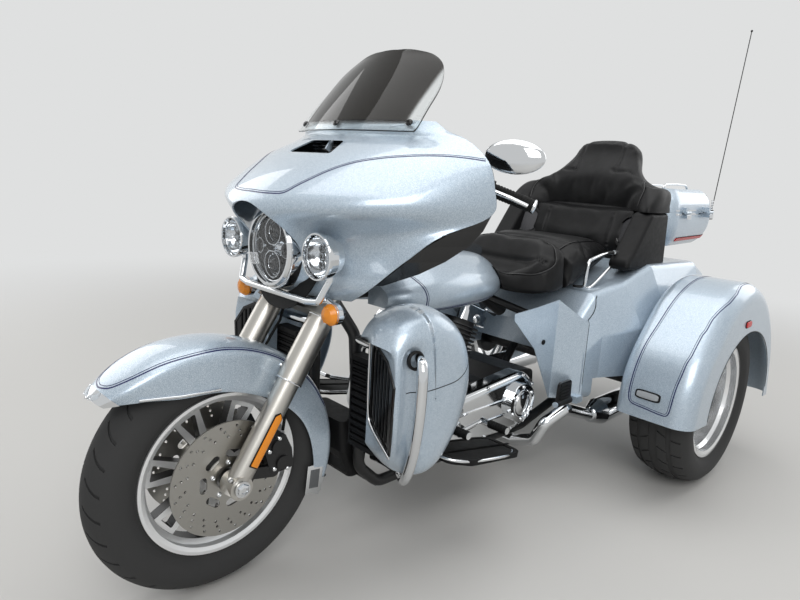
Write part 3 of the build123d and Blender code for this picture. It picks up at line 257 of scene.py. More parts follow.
@dataclass(frozen=True)
class Leather(Finish):
    """Embossed seat cover: pebbles with fine creases between them."""

    pebble_mm: float = 2.6
    worn: str = "#1A1A1B"

    def dress(self, tree: Tree, shader: Node) -> None:
        """Cells give the pebbles; slow noise gives worn, shinier patches.

        Args:
            tree: The material's node tree.
            shader: Its principled shader.
        """
        spot = add_node(tree, "TexCoord").outputs["Object"]
        cells = add_node(tree, "TexVoronoi", {"Scale": 1000.0 / self.pebble_mm, "feature": "DISTANCE_TO_EDGE"},
                         {"Vector": spot})
        bump = add_node(tree, "Bump", {"Strength": 0.6, "Distance": 0.35 * MM}, {"Height": cells.outputs["Distance"]})
        tree.links.new(bump.outputs["Normal"], shader.inputs["Normal"])
        rubbed = add_node(tree, "TexNoise", {"Scale": 1000.0 / 90.0}, {"Vector": spot})
        wear = add_node(tree, "MapRange", {"To Min": self.roughness - 0.12, "To Max": self.roughness + 0.10},
                        {"Value": rubbed.outputs["Fac"]})
        tree.links.new(wear.outputs["Result"], shader.inputs["Roughness"])
        faded = add_node(tree, "TexNoise", {"Scale": 1000.0 / 40.0}, {"Vector": spot})
        colour = add_node(tree, "ValToRGB", {"stops": ((0.3, self.colour), (0.8, self.worn))},
                          {"Fac": faded.outputs["Fac"]})
        tree.links.new(colour.outputs["Color"], shader.inputs["Base Color"])


@dataclass(frozen=True)
class Glass(Finish):
    """Clear or tinted moulded plastic that shows what is behind it."""

    ior: float = 1.49
    clear: float = 1.0

    def dress(self, tree: Tree, shader: Node) -> None:
        """Transmission in the finish's tint."""
        shader.inputs["Transmission Weight"].default_value = self.clear
        shader.inputs["IOR"].default_value = self.ior


@dataclass(frozen=True)
class TintedSheet(Glass):
    """Screen sheet, smoked in the middle and clear along its base and rolled sides."""

    rim: str = "#E9ECEC"
    base_m: float = 1.214
    side_m: float = 0.212

    def dress(self, tree: Tree, shader: Node) -> None:
        """Height and distance from the middle say where the tint ends.

        Args:
            tree: The material's node tree.
            shader: Its principled shader.
        """
        super().dress(tree, shader)
        parts = add_node(tree, "SeparateXYZ", links={"Vector": add_node(tree, "TexCoord").outputs["Object"]})
        high = add_node(tree, "MapRange", {"From Min": self.base_m - 0.002, "From Max": self.base_m + 0.002},
                        {"Value": parts.outputs["Z"]})
        size = add_node(tree, "Math", {"operation": "ABSOLUTE"}, {0: parts.outputs["Y"]})
        inner = add_node(tree, "MapRange", {"From Min": self.side_m + 0.006, "From Max": self.side_m - 0.006},
                         {"Value": size.outputs[0]})
        tint = add_node(tree, "Math", {"operation": "MULTIPLY"}, {0: high.outputs[0], 1: inner.outputs[0]})
        colour = add_node(tree, "ValToRGB", {"stops": ((0.0, self.rim), (1.0, self.colour))},
                          {"Fac": tint.outputs[0]})
        tree.links.new(colour.outputs["Color"], shader.inputs["Base Color"])


@dataclass(frozen=True)
class CastAlloy(Finish):
    """Cast wheel: faces turned outwards are machined bright, the pockets stay black."""

    pocket: str = "#0B0B0C"
    centre: Place = FRONT_AXLE
    lip_mm: float = 192.0

    def dress(self, tree: Tree, shader: Node) -> None:
        """The face's direction and its distance from the axle say whether a cutter reached it.

        Args:
            tree: The material's node tree.
            shader: Its principled shader.
        """
        normal = add_node(tree, "NewGeometry").outputs["Normal"]
        side = add_node(tree, "SeparateXYZ", links={"Vector": normal}).outputs["Y"]
        size = add_node(tree, "Math", {"operation": "ABSOLUTE"}, {0: side})
        face = add_node(tree, "MapRange", {"From Min": 0.55, "From Max": 0.70}, {"Value": size.outputs[0]})
        lip = add_node(tree, "MapRange", {"From Min": (self.lip_mm - 1) * MM, "From Max": (self.lip_mm + 1) * MM},
                       {"Value": from_axle(tree, self.centre)})
        mask = add_node(tree, "Math", {"operation": "MAXIMUM"}, {0: face.outputs[0], 1: lip.outputs[0]}).outputs[0]
        colour = add_node(tree, "ValToRGB", {"stops": ((0.0, self.pocket), (1.0, self.colour))}, {"Fac": mask})
        tree.links.new(colour.outputs["Color"], shader.inputs["Base Color"])
        metal = add_node(tree, "Math", {"operation": "MULTIPLY", 1: self.metallic}, {0: mask})
        tree.links.new(metal.outputs[0], shader.inputs["Metallic"])


@dataclass(frozen=True)
class TurnedSteel(Finish):
    """Ground disc: fine rings round the axle."""

    centre: Place = FRONT_AXLE

    def dress(self, tree: Tree, shader: Node) -> None:
        """Noise on the distance from the axle gives rings about 1.2 mm apart.

        Args:
            tree: The material's node tree.
            shader: Its principled shader.
        """
        rings = add_node(tree, "TexNoise", {"noise_dimensions": "1D", "Scale": 800.0},
                         {"W": from_axle(tree, self.centre)})
        bump = add_node(tree, "Bump", {"Strength": 0.5, "Distance": 0.05 * MM}, {"Height": rings.outputs["Fac"]})
        tree.links.new(bump.outputs["Normal"], shader.inputs["Normal"])


@dataclass(frozen=True)
class Grille(Finish):
    """Sheet with rows of small holes, which read as dark dots."""

    pitch_mm: float = 4.0

    def dress(self, tree: Tree, shader: Node) -> None:
        """Round cells darken the colour and sink the surface.

        Args:
            tree: The material's node tree.
            shader: Its principled shader.
        """
        cells = add_node(tree, "TexVoronoi", {"Scale": 1000.0 / self.pitch_mm, "Randomness": 0.15},
                         {"Vector": add_node(tree, "TexCoord").outputs["Object"]})
        holes = add_node(tree, "ValToRGB", {"stops": ((0.22, "#020202"), (0.34, "#303033"))},
                         {"Fac": cells.outputs["Distance"]})
        tree.links.new(holes.outputs["Color"], shader.inputs["Base Color"])
        bump = add_node(tree, "Bump", {"Distance": 0.6 * MM}, {"Height": cells.outputs["Distance"]})
        tree.links.new(bump.outputs["Normal"], shader.inputs["Normal"])


# Sprayed in layers: a pale sparkle under a wet gloss
PAINT = PearlPaint("silver_blue_basecoat_clearcoat", "#9FB1C1", 0.45, 0.38)
# Plated over polished metal: a mirror with the faintest waves
CHROME = Grained("chrome_plate", "#DADCDE", 1.0, 0.06, grain_mm=60.0, depth_mm=0.02, spread=0.02)
# Brushed castings under lacquer: a wide, soft sheen
SATIN = Grained("satin_clearcoated_aluminium", "#BFBCB6", 1.0, 0.34, grain_mm=4.0, depth_mm=0.02, spread=0.05)
# Baked powder: an even orange-peel skin that hides edges
POWDER = Grained("satin_black_powder_coat", "#121213", 0.0, 0.42, grain_mm=1.2, depth_mm=0.06)
# Cast, blacked, then cut on the faces: bright planes against dark pockets
ALLOY = CastAlloy("machined_cast_aluminium", "#F2F3F4", 0.75, 0.34)
ALLOY_REAR = CastAlloy("polished_cast_aluminium", "#EEEFF0", 0.9, 0.22, centre=REAR_AXLE, lip_mm=120.0)
# Ground on a turntable: a streak of light that turns with the eye
DISC = TurnedSteel("ground_stainless_steel", "#A9A7A2", 1.0, 0.30)
# Moulded rubber and unpainted plastic: dull, with a fine tooth
TYRE = Grained("tyre_rubber", "#111111", 0.0, 0.78, grain_mm=2.0, depth_mm=0.15, gleam=0.22)
BLACK_ABS = Grained("textured_black_abs", "#0E0E0F", 0.0, 0.55, grain_mm=1.0, depth_mm=0.08, gleam=0.22)
GLOSS_BLACK = Grained("smoked_gloss_abs", "#08080A", 0.0, 0.12, grain_mm=80.0, depth_mm=0.01, spread=0.03)
RUBBER = Grained("ribbed_black_rubber", "#0F0F0F", 0.0, 0.70, grain_mm=2.0, depth_mm=0.10, gleam=0.22)
# Embossed vinyl over foam: pebbles, shinier where it is sat on
HIDE = Leather("embossed_black_vinyl", "#0B0B0C", 0.0, 0.46, gleam=0.22)
# Clear, smoked and coloured moulded plastic: sharp glints, the colour deepest at its edges
SMOKE = TintedSheet("smoked_polycarbonate", "#26231F", 0.0, 0.04, ior=1.30)
CLEAR = Glass("clear_polycarbonate", "#F4F6F8", 0.0, 0.02, ior=1.30)
AMBER = Glass("amber_lens", "#FF7A10", 0.0, 0.12, clear=0.35)
RED = Glass("red_lens", "#B30D0D", 0.0, 0.12, clear=0.30)
# Silvered behind float glass: a plain mirror
MIRROR_GLASS = Finish("silvered_mirror_glass", "#E8EAEC", 1.0, 0.01)
# Small parts: cord, enamel lines, pressed fins and printed marks
PIPING = Grained("vinyl_covered_piping", "#1A1A1B", 0.0, 0.40, grain_mm=2.0, depth_mm=0.06)
NAVY = Grained("navy_stripe_enamel", "#23265A", 0.0, 0.20, grain_mm=30.0, depth_mm=0.01, spread=0.03)
DOME = Glass("clear_projector_glass", "#F7FAFC", 0.0, 0.02, ior=1.45)
CLEAR_SOLID = Glass("clear_marker_lens", "#E9EEF2", 0.0, 0.06, ior=1.30, clear=0.55)
SMOKE_GREY = Grained("grey_reflector_lens", "#5A5C5E", 0.0, 0.25, grain_mm=3.0, depth_mm=0.15)
WHITE_INK = Finish("white_screen_print", "#E8E8E4", 0.0, 0.5)
ORANGE_INK = Finish("orange_needle_lacquer", "#E8601C", 0.0, 0.4)
ALLOY_FIN = Grained("radiator_aluminium_fin", "#3A3B3D", 0.8, 0.45, grain_mm=3.0, depth_mm=0.03)
GRILLE = Grille("pierced_black_steel", "#1B1B1D", 0.4, 0.45)

NODE_FINISH: dict[str, Finish] = {
    **dict.fromkeys(("front_fender", "fairing_outer", "fuel_tank", "lower_fairing_left", "lower_fairing_right",
                     "body_shell", "trunk_door", "rear_fender_left", "rear_fender_right", "case_base",
                     "case_lid"), PAINT),
    **dict.fromkeys(("front_axle", "fender_trim", "headlamp_bucket", "lamp_bar", "handlebar", "mirrors",
                     "engine_guard", "rocker_covers", "air_cleaner", "primary_cover", "exhaust",
                     "foot_controls", "grab_rails"), CHROME),
    **dict.fromkeys(("fork_legs", "fork_crown"), SATIN),
    **dict.fromkeys(("brake_calipers", "frame_cradle", "engine", "rear_axle", "passenger_board_left",
                     "passenger_board_right", "antenna", "headlamp_modules"), POWDER),
    **dict.fromkeys(("rear_rim_left", "rear_rim_right"), ALLOY_REAR), "front_rim": ALLOY,
    **dict.fromkeys(("front_tyre", "rear_tyre_left", "rear_tyre_right"), TYRE),
    **dict.fromkeys(("fairing_inner", "radiator_screens", "chin_cover", "speaker_pods"), BLACK_ABS),
    **dict.fromkeys(("wind_deflectors", "tank_console"), GLOSS_BLACK),
    **dict.fromkeys(("grips", "footboards", "brake_lines"), RUBBER),
    **dict.fromkeys(("rider_seat", "pillion_seat", "backrest_lower", "backrest_upper"), HIDE),
    **dict.fromkeys(("headlamp_lens", "passing_lamp_lenses"), CLEAR),
    "front_discs": DISC, "windscreen": SMOKE, "front_signals": AMBER, "rear_lamps": RED,
}


def finish_nodes() -> None:
    """Gives every carried-over solid its finish."""
    for name, obj in frame["nodes"].items():
        obj.data.materials.clear()
        obj.data.materials.append(NODE_FINISH[name].material())
    log.info("finished %d solids", len(frame["nodes"]))


# Bench work shared by the sub-assemblies


def select_only(obj: Piece) -> None:
    """Selects one object and makes it active."""
    bpy.ops.object.select_all(action="DESELECT")
    obj.select_set(True)
    bpy.context.view_layer.objects.active = obj


@contextmanager
def editing(obj: Piece, kind: str = "FACE", whole: bool = False) -> Iterator[bmesh.types.BMesh]:
    """Edit mode on one object with nothing selected, or all of it.

    Args:
        obj: The mesh object.
        kind: VERT, EDGE or FACE, what is picked.
        whole: Whether the whole mesh starts selected.

    Returns:
        The mesh being edited.
    """
    select_only(obj)
    bpy.ops.object.mode_set(mode="EDIT")
    bpy.ops.mesh.select_mode(type=kind)
    bpy.ops.mesh.select_all(action="SELECT" if whole else "DESELECT")
    yield bmesh.from_edit_mesh(obj.data)
    bpy.ops.object.mode_set(mode="OBJECT")


def pick(mesh: bmesh.types.BMesh, parts: Iterable, test: Callable) -> None:
    """Selects the vertices, edges or faces that pass a test.

    Args:
        mesh: The mesh in edit mode.
        parts: Its vertices, edges or faces.
        test: True for those to select.
    """
    for part in parts:
        part.select_set(bool(test(part)))
    mesh.select_flush_mode()
    bmesh.update_edit_mesh(bpy.context.object.data)


def modify(obj: Piece, kind: str, **settings: object) -> None:
    """Adds a modifier and applies it.

    Args:
        obj: The piece.
        kind: The modifier's type.
        **settings: Its properties by name.
    """
    select_only(obj)
    modifier = obj.modifiers.new(kind.lower(), kind)
    for key, value in settings.items():
        setattr(modifier, key, value)
    bpy.ops.object.modifier_apply(modifier=modifier.name)


def rounded(obj: Piece, width: float, segments: int, limit: float = 55.0) -> None:
    """Rounds the edges that turn by more than a limit, in degrees, by a width in millimetres."""
    modify(obj, "BEVEL", width=width * MM, segments=segments, limit_method="ANGLE", angle_limit=radians(limit))


def moved(obj: Piece, *steps: Matrix) -> Piece:
    """Moves a piece's mesh by one matrix after the other."""
    for step in steps:
        obj.data.transform(step)
    return obj


def settle(obj: Piece, name: str, finish: "Finish", body: str, angle: float = 35.0,
           mend: bool = True) -> Piece:
    """Finishes a piece: place applied, shell closed, shaded, dressed and carried by a body.

    Args:
        obj: The modelled object.
        name: The piece's name.
        finish: Its surface finish.
        body: The moving body that it rides on.
        angle: Degrees up to which neighbouring faces shade as one.
        mend: Whether doubles are merged and normals turned outwards.

    Returns:
        The finished piece.
    """
    select_only(obj)
    bpy.ops.object.transform_apply(location=True, rotation=True, scale=True)
    obj.name = obj.data.name = name
    if mend:
        with editing(obj, whole=True):
            bpy.ops.mesh.remove_doubles(threshold=WELD)
            bpy.ops.mesh.normals_make_consistent(inside=False)
    obj.data.materials.clear()
    obj.data.materials.append(finish.material())
    select_only(obj)
    bpy.ops.object.shade_smooth_by_angle(angle=radians(angle))
    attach(obj, body)
    log.info("%s: %d faces", name, len(obj.data.polygons))
    return obj


def drawn(points: Route, filled: bool = False) -> Piece:
    """A closed outline: a circle with one vertex a point, each moved to its place.

    Args:
        points: Corners in order, in drawing millimetres.
        filled: Whether the outline carries a face.

    Returns:
        The outline object.
    """
    bpy.ops.object.select_all(action="DESELECT")
    bpy.ops.mesh.primitive_circle_add(vertices=len(points), radius=1.0,
                                      fill_type="NGON" if filled else "NOTHING")
    obj = bpy.context.object
    for vertex, point in zip(obj.data.vertices, points):
        vertex.co = at(*point)
    return obj


def aimed(direction: Sequence[float]) -> Matrix:
    """Turn that takes X forward to a direction."""
    return Vector(direction).normalized().to_track_quat("X", "Z").to_matrix().to_4x4()


def lathe(profile: Sequence[Corner], place: Sequence[float], direction: Sequence[float],
          steps: int = 48) -> Piece:
    """Closed profile spun about an axis.

    Args:
        profile: Corners as (distance along the axis, radius), in millimetres.
        place: The axis's zero point in drawing millimetres.
        direction: The axis.
        steps: Facets round it.

    Returns:
        The turned object, already in place.
    """
    obj = drawn([(a - ORIGIN_SHIFT, 0.0, r) for a, r in profile])
    with editing(obj, "VERT", whole=True):
        bpy.ops.mesh.spin(steps=steps, angle=2 * pi, center=(0, 0, 0), axis=(1, 0, 0))
        bpy.ops.mesh.select_all(action="SELECT")
        bpy.ops.mesh.remove_doubles(threshold=WELD)
        bpy.ops.mesh.dissolve_degenerate(threshold=0.00001)
    return moved(obj, Matrix.Translation(at(*place)) @ aimed(direction))


def plate(outline: Sequence[Corner], place: Sequence[float], direction: Sequence[float],
          thick: float, edge: float = 0.8, steps: int = 2) -> Piece:
    """Flat outline given thickness and a rounded edge.

    Args:
        outline: Corners as (sideways, up) on the plate, in millimetres.
        place: The middle of its back face in drawing millimetres.
        direction: The way its face looks.
        thick: Thickness in millimetres.
        edge: Edge radius in millimetres.
        steps: Facets of that edge.

    Returns:
        The plate, already in place.
    """
    obj = drawn([(-ORIGIN_SHIFT, u, v) for u, v in outline], filled=True)
    with editing(obj, whole=True):
        bpy.ops.mesh.extrude_region_move(TRANSFORM_OT_translate={"value": (thick * MM, 0, 0)})
    if edge:
        rounded(obj, edge, steps, 50)
    return moved(obj, Matrix.Translation(at(*place)) @ aimed(direction))


def sink(obj: Piece, test: Callable, rim: float, depth: float) -> None:
    """Presses the faces that pass a test in, inside a rim.

    Args:
        obj: The piece.
        test: Says whether a face is pressed in.
        rim: Width left round the edge, in metres.
        depth: How far they go along X, in metres.
    """
    with editing(obj) as mesh:
        pick(mesh, mesh.faces, test)
        bpy.ops.mesh.inset(thickness=rim)
        bpy.ops.mesh.extrude_region_move(TRANSFORM_OT_translate={"value": (depth, 0, 0)})


def framed(low_half: float, low: float, high_half: float, high: float) -> list[Corner]:
    """Outline with level ends, each with its half width and its height."""
    return [(-low_half, low), (low_half, low), (high_half, high), (-high_half, high)]


def across(half: Iterable[Place]) -> tuple[Place, ...]:
    """A line from one side to the middle, and on along its mirror image."""
    half = tuple(half)
    return half + tuple((x, -y, z) for x, y, z in half[-2::-1])


def oval(half_u: float, half_v: float, steps: int = 32, power: float = 2.0) -> list[Corner]:
    """Outline of an oval; a higher power makes it squarer.

    Args:
        half_u: Half the width in millimetres.
        half_v: Half the height in millimetres.
        steps: Corners round it.
        power: 2 for an ellipse.

    Returns:
        The outline's corners.
    """
    made = []
    for i in range(steps):
        a = 2 * pi * i / steps
        c, s = cos(a), sin(a)
        made.append((half_u * copysign(abs(c) ** (2 / power), c),
                     half_v * copysign(abs(s) ** (2 / power), s)))
    return made


def tube(points: Route, radius: float, sides: int = 3, closed: bool = False) -> Piece:
    """Round bar along a smooth line.

    Args:
        points: Control points in drawing millimetres.
        radius: Bar radius in millimetres.
        sides: Bevel resolution.
        closed: Whether its ends meet.

    Returns:
        The bar as a mesh.
    """
    curve = bpy.data.curves.new("bar", "CURVE")
    curve.dimensions = "3D"
    curve.bevel_depth, curve.bevel_resolution, curve.use_fill_caps = radius * MM, sides, True
    line = curve.splines.new("NURBS")
    line.points.add(len(points) - 1)
    for knot, point in zip(line.points, points):
        knot.co = (*at(*point), 1.0)
    line.order_u, line.use_endpoint_u, line.use_cyclic_u = 3, not closed, closed
    line.resolution_u = 8
    obj = bpy.data.objects.new("bar", curve)
    bpy.context.scene.collection.objects.link(obj)
    select_only(obj)
    bpy.ops.object.convert(target="MESH")
    return bpy.context.object


def copied(obj: Piece, name: str, change: Matrix, body: str | None = None) -> Piece:
    """A copy with its own mesh, moved in its mesh and carried by a body.

    Args:
        obj: The finished piece.
        name: The copy's name.
        change: What moves the mesh.
        body: Its body, where it isn't the first one's.

    Returns:
        The copy.
    """
    twin = obj.copy()
    twin.data = obj.data.copy()
    twin.data.transform(change)
    if change.determinant() < 0:
        twin.data.flip_normals()
    twin.name = twin.data.name = name
    bpy.context.scene.collection.objects.link(twin)
    twin.parent = None
    twin.matrix_world = Matrix.Identity(4)
    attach(twin, body or obj["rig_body"])
    return twin


MIRRORED = Matrix.Scale(-1.0, 4, (0, 1, 0))


def both_sides(obj: Piece) -> None:
    """Renames a left piece and adds its right twin."""
    stem = obj.name
    obj.name = obj.data.name = stem + "_left"
    copied(obj, stem + "_right", MIRRORED)


def pair(obj: Piece, name: str, finish: "Finish", body: str, angle: float = 35.0, mend: bool = True) -> None:
    """Finishes a left piece, as settle does, and adds its right twin."""
    both_sides(settle(obj, name, finish, body, angle, mend))


@lru_cache(maxsize=None)
def skin_of(*names: str) -> BVHTree:
    """Search tree over the outer faces of solids and finished pieces, without a shell's inner walls."""
    corners, faces = [], []
    for name in names:
        data = (bpy.data.objects.get(name) or frame["nodes"][name]).data
        spots = [v.co.copy() for v in data.vertices]
        middle = sum((Vector(map(limit, zip(*spots))) for limit in (min, max)), Vector()) / 2
        base = len(corners)
        corners += spots
        faces += [[base + i for i in face.vertices] for face in data.polygons
                  if face.normal.dot((face.center - middle).normalized()) > -0.15]
    return BVHTree.FromPolygons(corners, faces)


def touched(tree: BVHTree, spot: Vector) -> tuple[Vector, Vector]:
    """Nearest place on a surface, in drawing millimetres, and its normal."""
    found, normal, _, _ = tree.find_nearest(spot)
    return found / MM - Vector((ORIGIN_SHIFT, 0, 0)), normal


def search_tree(spots: list[Vector]) -> KDTree:
    """Tree that finds the nearest of some points.

    Args:
        spots: The points.

    Returns:
        The tree, balanced.
    """
    tree = KDTree(len(spots))
    for i, spot in enumerate(spots):
        tree.insert(spot, i)
    tree.balance()
    return tree


def drawn_mm(spots: Iterable[Vector]) -> list[list[float]]:
    """Points of the frame, in metres, as drawing millimetres."""
    return [[c / MM for c in (spot - at(0, 0, 0))] for spot in spots]


def smooth_line(points: Route, step: float = 6.0) -> list[Vector]:
    """Points at even steps on a smooth curve through the given ones, in drawing millimetres.

    Args:
        points: Points that the curve passes.
        step: Rough distance between the new points.

    Returns:
        The new points in metres, in the frame.
    """
    knots = [at(*p) for p in points]
    ends = [knots[0], *knots, knots[-1]]
    made = []
    for a, b, c, d in zip(ends, ends[1:], ends[2:], ends[3:]):
        count = max(2, round((c - b).length / (step * MM)))
        for i in range(count):
            t = i / count
            made.append(0.5 * (2 * b + (c - a) * t + (2 * a - 5 * b + 4 * c - d) * t * t
                               + (3 * b - a - 3 * c + d) * t ** 3))
    return made + [knots[-1]]


def laid(points: list[Vector], tree: BVHTree, lift: float) -> tuple[list[Vector], list[Vector]]:
    """Points laid on a surface with its normals, both evened out.

    Args:
        points: Points near the surface, in metres.
        tree: The surface.
        lift: Height above it in millimetres.

    Returns:
        The laid points and the normals there.
    """
    spots = list(points)
    for _ in range(4):
        spots = [tree.find_nearest(spot)[0] for spot in spots]
        inner = [(a + 2 * b + c) / 4 for a, b, c in zip(spots, spots[1:], spots[2:])]
        spots = [spots[0], *inner, spots[-1]]
    found = [tree.find_nearest(spot) for spot in spots]
    spots, normals = [f[0] for f in found], [f[1] for f in found]
    for _ in range(3):
        normals = [(a + 2 * b + c).normalized() for a, b, c in
                   zip([normals[0]] + normals[:-1], normals, normals[1:] + [normals[-1]])]
    return [s + n * lift * MM for s, n in zip(spots, normals)], normals


def ribbon(points: Route, nodes: Sequence[str], width: float, thick: float = 0.5, shift: float = 0.0,
           lift: float = 0.3) -> Piece:
    """Flat band that follows a surface.

    Args:
        points: Points that its middle passes, in drawing millimetres.
        nodes: The solids that it lies on.
        width: Its width in millimetres.
        thick: Its thickness in millimetres.
        shift: Sideways distance from the points.
        lift: Height of its underside above the surface.

    Returns:
        The band as a mesh.
    """
    tree = skin_of(*nodes)
    spots, normals = laid(smooth_line(points), tree, 0.0)
    count = len(spots)
    bpy.ops.object.select_all(action="DESELECT")
    bpy.ops.mesh.primitive_grid_add(x_subdivisions=count - 1, y_subdivisions=1, size=1.0)
    obj = bpy.context.object
    for i, (before, spot, after, normal) in enumerate(zip(spots[:1] + spots, spots, spots[1:] + spots[-1:], normals)):
        sideways = normal.cross(after - before).normalized()
        for j, half in enumerate((-width / 2, width / 2)):
            aim = spot + sideways * (shift + half) * MM
            obj.data.vertices[j * count + i].co = tree.find_nearest(aim)[0] + normal * lift * MM
    modify(obj, "SOLIDIFY", thickness=thick * MM, offset=1.0)
    return obj


# Upholstery


class Stitch(Enum):
    """How a seam is finished."""

    PIPED = "piped"
    SUNK = "sunk"


@dataclass(frozen=True)
class Seam:
    """One sewn line on a pad, given by points near its surface in drawing millimetres."""

    points: tuple[Place, ...]
    kind: Stitch = Stitch.SUNK
    depth: float = 5.0
    reach: float = 7.0

    def twins(self) -> tuple["Seam", "Seam"]:
        """This seam and its mirror image."""
        return self, replace(self, points=tuple((x, -y, z) for x, y, z in self.points))


@dataclass(frozen=True)
class Pad:
    """Foam pad under a sewn cover, puffed up from its plain solid."""

    node: str
    body: str
    mould: Callable[[float, float, float], Place]
    seams: tuple[Seam, ...] = ()
    slim: float = 7.0
    voxel: float = 8.0
    rounds: int = 14
    cap: float = 14.0
    blank: tuple[Corner, ...] = ()
    rest: Callable[[float, float, float], bool] = lambda x, y, z: False
    fill: float = 0.75

    def foam(self) -> Piece:
        """Copies the solid, rounds it and gives it the moulded shape."""
        if self.blank:
            obj = plate(self.blank, (-50, 0, 0), (1, 0, 0), 100, 36, 6)
        else:
            obj = bpy.data.objects.new(self.node + "_pad", frame["nodes"][self.node].data.copy())
            bpy.context.scene.collection.objects.link(obj)
        with editing(obj, whole=True):
            bpy.ops.mesh.remove_doubles(threshold=0.0001)
            bpy.ops.mesh.normals_make_consistent(inside=False)
        obj.data.remesh_voxel_size = self.voxel * MM
        select_only(obj)
        bpy.ops.object.voxel_remesh()
        modify(obj, "SMOOTH", factor=0.5, iterations=self.rounds)
        with editing(obj, whole=True):
            bpy.ops.transform.shrink_fatten(value=-self.slim * MM)
        for vertex in obj.data.vertices:
            x, y, z = (c / MM for c in vertex.co)
            vertex.co = at(*self.mould(x - ORIGIN_SHIFT, y, z))
        return obj

    def puff(self, obj: Piece) -> None:
        """Blows the cover up in a cloth simulation and caps how far it moves.

        Args:
            obj: The cover, in place.
        """
        start = [v.co.copy() for v in obj.data.vertices]
        held = obj.vertex_groups.new(name="held")
        for vertex in obj.data.vertices:
            x, y, z = (c / MM for c in vertex.co)
            if self.rest(x - ORIGIN_SHIFT, y, z):
                held.add([vertex.index], 1, "REPLACE")
        select_only(obj)
        cloth = obj.modifiers.new("cover", "CLOTH")
        cloth.settings.use_pressure = True
        cloth.settings.uniform_pressure_force = 4.0
        cloth.settings.effector_weights.gravity = 0.0
        cloth.settings.vertex_group_mass = "held"
        cloth.settings.quality = 3
        scene = bpy.context.scene
        for step in range(1, 17):
            scene.frame_set(step)
        bpy.ops.object.modifier_apply(modifier="cover")
        scene.frame_set(1)
        for vertex, first in zip(obj.data.vertices, start):
            move = vertex.co - first
            if move.length > self.cap * MM:
                vertex.co = first + move.normalized() * self.cap * MM
        obj.vertex_groups.clear()
        modify(obj, "SMOOTH", factor=0.5, iterations=4)

    def sew(self, obj: Piece) -> None:
        """Sinks each seam into the cover and lays piping in the piped ones.

        Args:
            obj: The cover, after the simulation.
        """
        for number, seam in enumerate(self.seams):
            tree = BVHTree.FromObject(obj, bpy.context.evaluated_depsgraph_get())
            spots, _ = laid(smooth_line(seam.points, 5), tree, 0)
            near, moves = search_tree(spots), []
            for vertex in obj.data.vertices:
                gap = near.find(vertex.co)[2]
                if gap < 3 * seam.reach * MM:
                    depth = seam.depth * MM * exp(-(gap / (seam.reach * MM)) ** 2)
                    moves.append((vertex.index, vertex.co - vertex.normal * depth))
            for index, spot in moves:
                obj.data.vertices[index].co = spot
            if seam.kind is Stitch.PIPED:
                settle(tube(drawn_mm(spots[::3]), 2.2, 2), f"{self.node}_piping_{number}", PIPING, self.body,
                       mend=False)

    def build(self) -> None:
        obj = self.foam()
        self.puff(obj)
        modify(obj, "SUBSURF", levels=1, render_levels=1)
        self.sew(obj)
        settle(obj, self.node + "_pad", HIDE, self.body, 60, mend=False)
        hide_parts(self.node)


def ease(value: float, low: float, high: float) -> float:
    """Smooth step from 0 at low to 1 at high."""
    t = min(1, max(0, (value - low) / (high - low)))
    return t * t * (3 - 2 * t)


def rider_mould(x: float, y: float, z: float) -> Place:
    """Bucket: dished pan, raised side bolsters and a high rear lip.

    Args:
        x: Distance forward in drawing millimetres.
        y: Distance to the left.
        z: Height.

    Returns:
        The point's place in the moulded pad.
    """
    top = ease(z, 720, 770)
    lip = ease(-x, 120, 240) * exp(-(y / 205) ** 6)
    side = ease(abs(y), 105, 180) * ease(-x, -40, 190)
    dish = exp(-(y / 130) ** 4) * exp(-((x + 95) / 85) ** 4)
    return x, y, z + top * (98 * lip + 34 * side * (1 - lip) - 26 * dish)


def pillion_mould(x: float, y: float, z: float) -> Place:
    """Crowned seat, a little lower in the middle and rolled down in front."""
    top = ease(z, 790, 850)
    return x, y, z + top * (8 * exp(-(y / 160) ** 4) - 10 * ease(abs(y), 160, 229) - 30 * ease(x, -340, -270))


def lumbar_mould(x: float, y: float, z: float) -> Place:
    """Front leans back towards the upper pad and is hollow across.

    Args:
        x: Distance forward in drawing millimetres.
        y: Distance to the left.
        z: Height.

    Returns:
        The point's place in the moulded pad.
    """
    front = ease(x, -720, -640)
    lean = 44 + 60 * ease(z, 850, 985)
    hollow = 18 * exp(-(y / 150) ** 4)
    return x - front * (lean + hollow), y, min(z + 34 * ease(z, 900, 972), 984)


def upper_mould(x: float, y: float, z: float) -> Place:
    """Wraps the blank round the rider's back: arms forward, headrest leaning back, middle hollow.

    Args:
        x: Place through the blank's thickness, -50 to 50.
        y: Distance to the left.
        z: Height.

    Returns:
        The point's place in the moulded pad.
    """
    wing = ease(abs(y), 165, 320)
    front = -726 + 122 * wing - 104 * wing * ease(z, 990, 1100) - 92 * ease(z, 1075, 1240) * (1 - wing)
    front -= 12 * exp(-(y / 120) ** 4) * ease(-z, -1110, -1010)
    back = -806 - 26 * ease(abs(y), 262, 338) - 106 * ease(z, 1085, 1230)
    share = (x + 50) / 100
    return back + (front - back) * share, y, max(z, 985)


BACK_HALF = ((-342, 930), (-342, 1050), (-330, 1076), (-306, 1092), (-262, 1106), (-226, 1124), (-194, 1152),
             (-168, 1194), (-144, 1236), (-114, 1260), (-68, 1271), (0, 1273))

